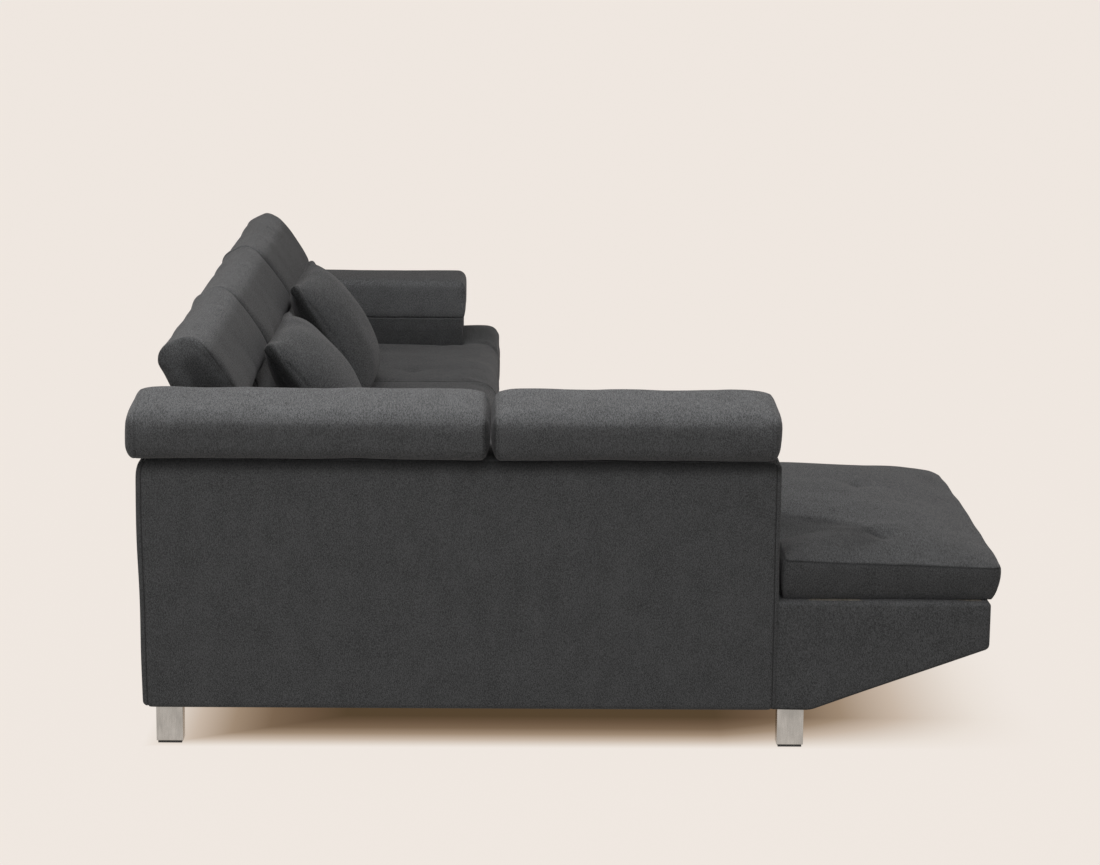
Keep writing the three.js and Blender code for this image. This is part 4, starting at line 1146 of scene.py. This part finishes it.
class SOFA_OT_make_cushions(Operator):
    """Box, crown and tuft the three seat cushions"""

    bl_idname = "sofa.make_cushions"
    bl_label = "Make Seat Cushions"

    def execute(self, context):
        sizes = padding()
        wide = sizes.cushion_corner
        tight = wide / 2
        low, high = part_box("chaise_seat_cushion")
        wall_low, wall_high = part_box("chaise_side_wall")
        notch = (wall_high.x + 0.003, wall_low.y - 0.010)
        tuft_y = low.y + 0.233
        near_tuft = (wall_low.x + 0.168, tuft_y - 0.015)
        forward = 0.004
        front = low.y - forward
        make_cushion("chaise_seat_cushion", SeatLook(
            corners=[(low.x, front, 1, 1, 0.026), (high.x, front, -1, 1, wide),
                     (low.x, notch[1], 1, -1, 0.010)],
            tufts=[near_tuft, (wall_low.x + 0.576, tuft_y)], seed=1.7, run=0.340, fullness=0.9,
            painted_shade=0.06, notch=notch, droop=sizes.chaise_droop, forward=forward, bulge=0.003,
            fold=(near_tuft, (wall_low.x + 0.325, wall_low.y - 0.020)), step_share=0.65))
        low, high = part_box("middle_seat_cushion")
        make_cushion("middle_seat_cushion", SeatLook(
            corners=[(low.x, low.y, 1, 1, tight), (high.x, low.y, -1, 1, 0.004)],
            tufts=[((low.x + high.x) / 2, low.y + 0.223)], seed=3.1, run=0.050, fullness=0.38,
            painted_shade=0.38, joined=(0.0, 0.06)))
        low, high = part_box("far_seat_cushion")
        wall_low, wall_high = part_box("arm_wall")
        notch = (wall_low.x - 0.003, wall_low.y + 0.003)
        make_cushion("far_seat_cushion", SeatLook(
            corners=[(low.x, low.y, 1, 1, 0.004), (high.x, low.y, -1, 1, tight),
                     (high.x, notch[1], -1, -1, 0.012)],
            tufts=[(low.x + 0.1805, low.y + 0.223)], seed=5.9, run=0.050, fullness=0.38,
            painted_shade=0.40, notch=notch, free_notch=(notch[0], notch[1] + 0.008), joined=(0.06, 0.0),
            ear_rise=0.008, sink=0.015))
        return {"FINISHED"}


# Throw pillows

PILLOW_WIDTH, PILLOW_HEIGHT, PILLOW_THICKNESS = 0.430, 0.350, 0.158
# Swell of its front and its flatter rear, as shares of the thickness, and how square they are
FRONT_SWELL_SHARE, FRONT_FULLNESS = 1.38, 0.40
REAR_SWELL_SHARE, REAR_FULLNESS = -1.20, 0.33
# Extra painted shade on the rear face, which faces away from the light
REAR_SHADE = 0.80
PILLOW_LOOPS = (0.003, 0.008, 0.016)
SIDES_DRAWN_SHARE = 0.055
CORNER_SHARE = 0.045
PILLOW_ROOM = (Vector((0.004, 0.012, 0.002)), Vector((0.004, 0.012, 0.004)))


def make_pillow(node, lean, seed, swing, slump, painted_shade):
    """Two faces sewn at a sharp edge, blown up, with the sides drawn in between the corners.

    It leans on its flatter rear face. Its near end swings to the rear, and there its upper
    corner slumps.
    """
    low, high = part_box(node)
    centre = (low + high) / 2
    halves = (PILLOW_WIDTH / 2, PILLOW_HEIGHT / 2)
    bm = start_sheet(PILLOW_WIDTH, PILLOW_HEIGHT)
    for axis, half in zip((ALONG, DEEP), halves):
        keys = [side * (half - gap) for side in (-1, 1) for gap in PILLOW_LOOPS]
        slice_across(bm, axis, plan_lines(-half, half, keys, 0.6 * padding().mesh_step))
    seam = new_layer(bm, "seam")
    pile = new_layer(bm, "painted_shade")
    rear = set(extrude_down(bm, bm.faces[:], Vector((0.0, 0.0, 0.0))))
    for vert in bm.verts:
        a = 2 * vert.co.x / PILLOW_WIDTH
        b = 2 * vert.co.y / PILLOW_HEIGHT
        edge = max(abs(a), abs(b)) > 1 - TINY
        at_rear = vert in rear
        swell = REAR_SWELL_SHARE if at_rear else FRONT_SWELL_SHARE
        fullness = REAR_FULLNESS if at_rear else FRONT_FULLNESS
        # The pile layer holds painted shade over the pillow, darker on its rear face
        vert[pile] = painted_shade + (REAR_SHADE if at_rear and not edge else 0.0)
        puff = max(0.0, (1 - a * a) * (1 - b * b)) ** fullness
        x = halves[0] * a * (1 - SIDES_DRAWN_SHARE * (1 - b * b))
        y = halves[1] * b * (1 - SIDES_DRAWN_SHARE * (1 - a * a))
        corner = 1 - CORNER_SHARE * (a * b) ** 6
        z = 0.0 if edge else swell * 0.86 * puff * PILLOW_THICKNESS / 2
        vert.co = Vector((x * corner, y * corner, z))
        vert[seam] = 1.0 if edge else 0.0
    bmesh.ops.remove_doubles(bm, verts=[vert for vert in bm.verts if vert[seam] > 0], dist=TINY)
    bmesh.ops.recalc_face_normals(bm, faces=bm.faces)
    bm.verts.index_update()
    rim = [vert.index for vert in bm.verts if vert[seam] > 0]
    piece = to_piece(f"{node}_cover", bm)
    stuff(piece, cap=0.014, pressure=5.0, held=rim, last_frame=24)
    with reshaping(piece) as bm:
        ripple(bm, 0.004, 0.09, seed)
    stand = Matrix.Rotation(math.radians(90.0), 4, "X")
    tip = Matrix.Rotation(-math.radians(lean), 4, "X")
    piece.data.transform(Matrix.Translation(centre) @ tip @ stand)
    for vert in piece.data.vertices:
        near = min(1.0, max(0.0, (high.x - vert.co.x) / (high.x - low.x)))
        vert.co.y += swing * near
        vert.co.z -= slump * near ** 2 * smooth_step(vert.co.z, centre.z, high.z)
    hold_inside(piece, low - PILLOW_ROOM[0], high + PILLOW_ROOM[1])
    dress(piece, [node], body=node)


class SOFA_OT_make_pillows(Operator):
    """Fill the two loose pillows"""

    bl_idname = "sofa.make_pillows"
    bl_label = "Fill Throw Pillows"

    def execute(self, context):
        for node, lean, seed, swing, slump, painted_shade in zip(
                PILLOWS, (33.0, 30.0), (1.1, 6.4), (0.012, 0.013), (0.012, 0.007), (0.20, 0.28)):
            make_pillow(node, lean, seed, swing, slump, painted_shade)
        return {"FINISHED"}


# Linings and bare fittings

def make_lining(node):
    """Thin cloth that closes a base from below and sags a little."""
    low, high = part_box(node)
    size = high - low
    bm = start_sheet(size.x, size.y, segments=24)
    for vert in bm.verts:
        sag = (1 - (2 * vert.co.x / size.x) ** 2) * (1 - (2 * vert.co.y / size.y) ** 2)
        vert.co.z = -0.004 * sag + 0.0006 * noise.noise(vert.co / 0.07)
    bmesh.ops.translate(bm, vec=(low + high) / 2, verts=bm.verts)
    bmesh.ops.solidify(bm, geom=bm.faces[:], thickness=0.0008)
    bmesh.ops.recalc_face_normals(bm, faces=bm.faces)
    piece = to_piece(f"{node}_cloth", bm)
    dress(piece, [node], slot="lining_cloth", levels=0)


class SOFA_OT_make_linings(Operator):
    """Close both bases from below with lining cloth"""

    bl_idname = "sofa.make_linings"
    bl_label = "Stretch Linings"

    def execute(self, context):
        make_lining("chaise_dust_cover")
        make_lining("sofa_dust_cover")
        return {"FINISHED"}


class SOFA_OT_finish_fittings(Operator):
    """Give the legs, glides, frames, straps and hinges their finishes"""

    bl_idname = "sofa.finish_fittings"
    bl_label = "Finish Fittings"

    def execute(self, context):
        for row in frame["record"]["subparts"]:
            if row["material_slot"] != FABRIC:
                for place in frame["nodes"][row["node"]].material_slots:
                    place.material = finish_for(row["material_slot"])
        return {"FINISHED"}


# Studio

# Colour of the floor from open paper, 0, to the deepest shade, 1, which the settings give
FLOOR_STOPS = (
    (0.057, (0.815, 0.745, 0.680, 1.0)), (0.246, (0.571, 0.468, 0.381, 1.0)),
    (0.430, (0.342, 0.250, 0.174, 1.0)), (0.618, (0.195, 0.130, 0.080, 1.0)),
    (0.810, (0.138, 0.087, 0.051, 1.0)),
)
FLOOR_RADIUS = 40.0
SIDE_FADE = 0.228
REAR_FADE = 0.400
SENSOR_WIDTH = 36.0


def add_seen_directly(tree):
    """1 for rays that come from the camera, a mirror or clear glass, and 0 for the rest."""
    path = tree.nodes.new("ShaderNodeLightPath")
    rays = ("Is Camera Ray", "Is Glossy Ray", "Is Transmission Ray")
    return add_math(tree, "MAXIMUM", [path.outputs[name] for name in rays])


def add_fade(tree, value, start, end, power=1.0):
    """0 before start, 1 after end, as a curve between them."""
    fade = add_node(tree, "ShaderNodeMapRange", {"Value": value, "From Min": start, "From Max": end})
    return add_math(tree, "POWER", [fade.outputs["Result"], power])


def make_floor_paper(studio):
    """Seamless paper with the sofa's soft shade on it, plain everywhere else."""
    material, tree, shader, place = start_material("seamless_paper", rough=1.0)
    shader.inputs["Specular IOR Level"].default_value = 0.0
    shader.inputs["Base Color"].default_value = studio.floor_bounce
    axes = add_node(tree, "ShaderNodeSeparateXYZ", {0: place})
    along, deep = axes.outputs["X"], axes.outputs["Y"]
    wall_low, wall_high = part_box("chaise_side_wall")
    chaise_low, chaise_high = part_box("chaise_base_cover")
    sofa_low, sofa_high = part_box("sofa_base_cover")
    near, rear, far = wall_low.x + 0.004, wall_high.y + 0.007, sofa_high.x - 0.004
    near_side = add_fade(tree, along, near, near + SIDE_FADE)
    rear_side = add_fade(tree, deep, rear, rear - REAR_FADE)
    chaise_front = add_fade(tree, deep, chaise_low.y - 0.15, chaise_low.y + 0.53, power=1.7)
    under_chaise = add_math(tree, "MINIMUM", [
        add_math(tree, "MULTIPLY", [near_side, chaise_front]), rear_side,
        add_fade(tree, along, chaise_high.x + 0.05, chaise_high.x - 0.15),
    ])
    under_sofa = add_math(tree, "MINIMUM", [
        near_side, rear_side, add_fade(tree, along, far, far - SIDE_FADE),
        add_fade(tree, deep, sofa_low.y - 0.05, sofa_low.y + 0.25),
    ])
    shade = add_math(tree, "MAXIMUM", [under_chaise, under_sofa])
    colour = add_ramp(
        tree, shade, ((0.0, studio.backdrop), *FLOOR_STOPS, (1.0, studio.shaded_floor)))
    glow = add_node(tree, "ShaderNodeEmission", {"Color": colour, "Strength": 1.035})
    seen = add_math(tree, "MULTIPLY", [add_seen_directly(tree), 0.96])
    mix = add_node(tree, "ShaderNodeMixShader", {
        "Fac": seen, 1: shader.outputs["BSDF"], 2: glow.outputs["Emission"]})
    tree.links.new(mix.outputs["Shader"], tree.nodes["Material Output"].inputs["Surface"])
    return material


def light_sky(studio):
    """Even light from all round, seen as the backdrop's colour."""
    world = bpy.data.worlds.new("studio")
    bpy.context.scene.world = world
    world.use_nodes = True
    tree = world.node_tree
    sky = tree.nodes["Background"]
    sky.inputs["Color"].default_value = (1.0, 0.985, 0.97, 1.0)
    sky.inputs["Strength"].default_value = studio.sky_strength
    shown = add_node(tree, "ShaderNodeBackground", {"Color": studio.backdrop})
    mix = add_node(tree, "ShaderNodeMixShader", {
        "Fac": add_seen_directly(tree), 1: sky.outputs["Background"],
        2: shown.outputs["Background"]})
    tree.links.new(mix.outputs["Shader"], tree.nodes["World Output"].inputs["Surface"])


def add_lamp(name, place, aim, size, power):
    """A broad lamp that points at its aim."""
    lamp = bpy.data.lights.new(name, "AREA")
    lamp.shape = "RECTANGLE"
    lamp.size, lamp.size_y = size
    lamp.energy = power
    stand = bpy.data.objects.new(name, lamp)
    stand.location = place
    stand.rotation_euler = (Vector(aim) - Vector(place)).to_track_quat("-Z", "Y").to_euler()
    bpy.context.scene.collection.objects.link(stand)


class SOFA_OT_set_studio(Operator):
    """Lay the floor, hang the lamps and place the camera"""

    bl_idname = "sofa.set_studio"
    bl_label = "Set Studio"

    def execute(self, context):
        scene = context.scene
        studio = scene.sofa_studio
        bm = bmesh.new()
        bmesh.ops.create_circle(bm, cap_ends=True, segments=96, radius=FLOOR_RADIUS)
        floor = to_piece("studio_floor", bm)
        floor.data.materials.append(make_floor_paper(studio))
        light_sky(studio)
        add_lamp("ceiling_softbox", (-0.9, 0.5, 3.3), (-0.6, 0.1, 0.4), (3.6, 3.6), studio.ceiling_power)
        add_lamp("side_softbox", (-6.3, 0.6, 1.7), (-1.0, 0.0, 0.4), (4.2, 2.4), studio.fill_power)
        camera = bpy.data.objects.new("photo_camera", bpy.data.cameras.new("photo_camera"))
        camera.data.sensor_width = SENSOR_WIDTH
        camera.data.lens = studio.lens
        camera.data.clip_end = 5 * FLOOR_RADIUS
        camera.matrix_world = (
            Matrix.Translation(studio.camera_place)
            @ Matrix.Rotation(-math.pi / 2 - studio.camera_turn, 4, "Z")
            @ Matrix.Rotation(math.pi / 2 - studio.camera_dip, 4, "X")
            @ Matrix.Rotation(studio.camera_roll, 4, "Z")
        )
        scene.collection.objects.link(camera)
        scene.camera = camera
        scene.view_settings.view_transform = "Standard"
        return {"FINISHED"}


class SOFA_PT_workshop(Panel):
    """Steps that dress the sofa, in order"""

    bl_label = "Sofa"
    bl_idname = "SOFA_PT_workshop"
    bl_space_type = "VIEW_3D"
    bl_region_type = "UI"
    bl_category = "Sofa"

    def draw(self, context):
        layout = self.layout
        for group in (context.scene.sofa_cloth, context.scene.sofa_padding, context.scene.sofa_studio):
            box = layout.box()
            for name in group.__annotations__:
                box.prop(group, name)
        for step in STEPS:
            layout.operator(step.bl_idname)


STEPS = (
    SOFA_OT_pad_walls,
    SOFA_OT_make_side_pads,
    SOFA_OT_make_headrests,
    SOFA_OT_make_aprons,
    SOFA_OT_make_cushions,
    SOFA_OT_make_pillows,
    SOFA_OT_make_linings,
    SOFA_OT_finish_fittings,
    SOFA_OT_set_studio,
)
CLASSES = (SofaClothColours, SofaPaddingSizes, SofaStudioSettings, *STEPS, SOFA_PT_workshop)


def register():
    for cls in CLASSES:
        bpy.utils.register_class(cls)
    bpy.types.Scene.sofa_cloth = PointerProperty(type=SofaClothColours)
    bpy.types.Scene.sofa_padding = PointerProperty(type=SofaPaddingSizes)
    bpy.types.Scene.sofa_studio = PointerProperty(type=SofaStudioSettings)


def unregister():
    del bpy.types.Scene.sofa_studio
    del bpy.types.Scene.sofa_padding
    del bpy.types.Scene.sofa_cloth
    for cls in reversed(CLASSES):
        bpy.utils.unregister_class(cls)


def main():
    register()
    for step in STEPS:
        group, name = step.bl_idname.split(".")
        getattr(getattr(bpy.ops, group), name)()


if __name__ == "__main__":
    main()
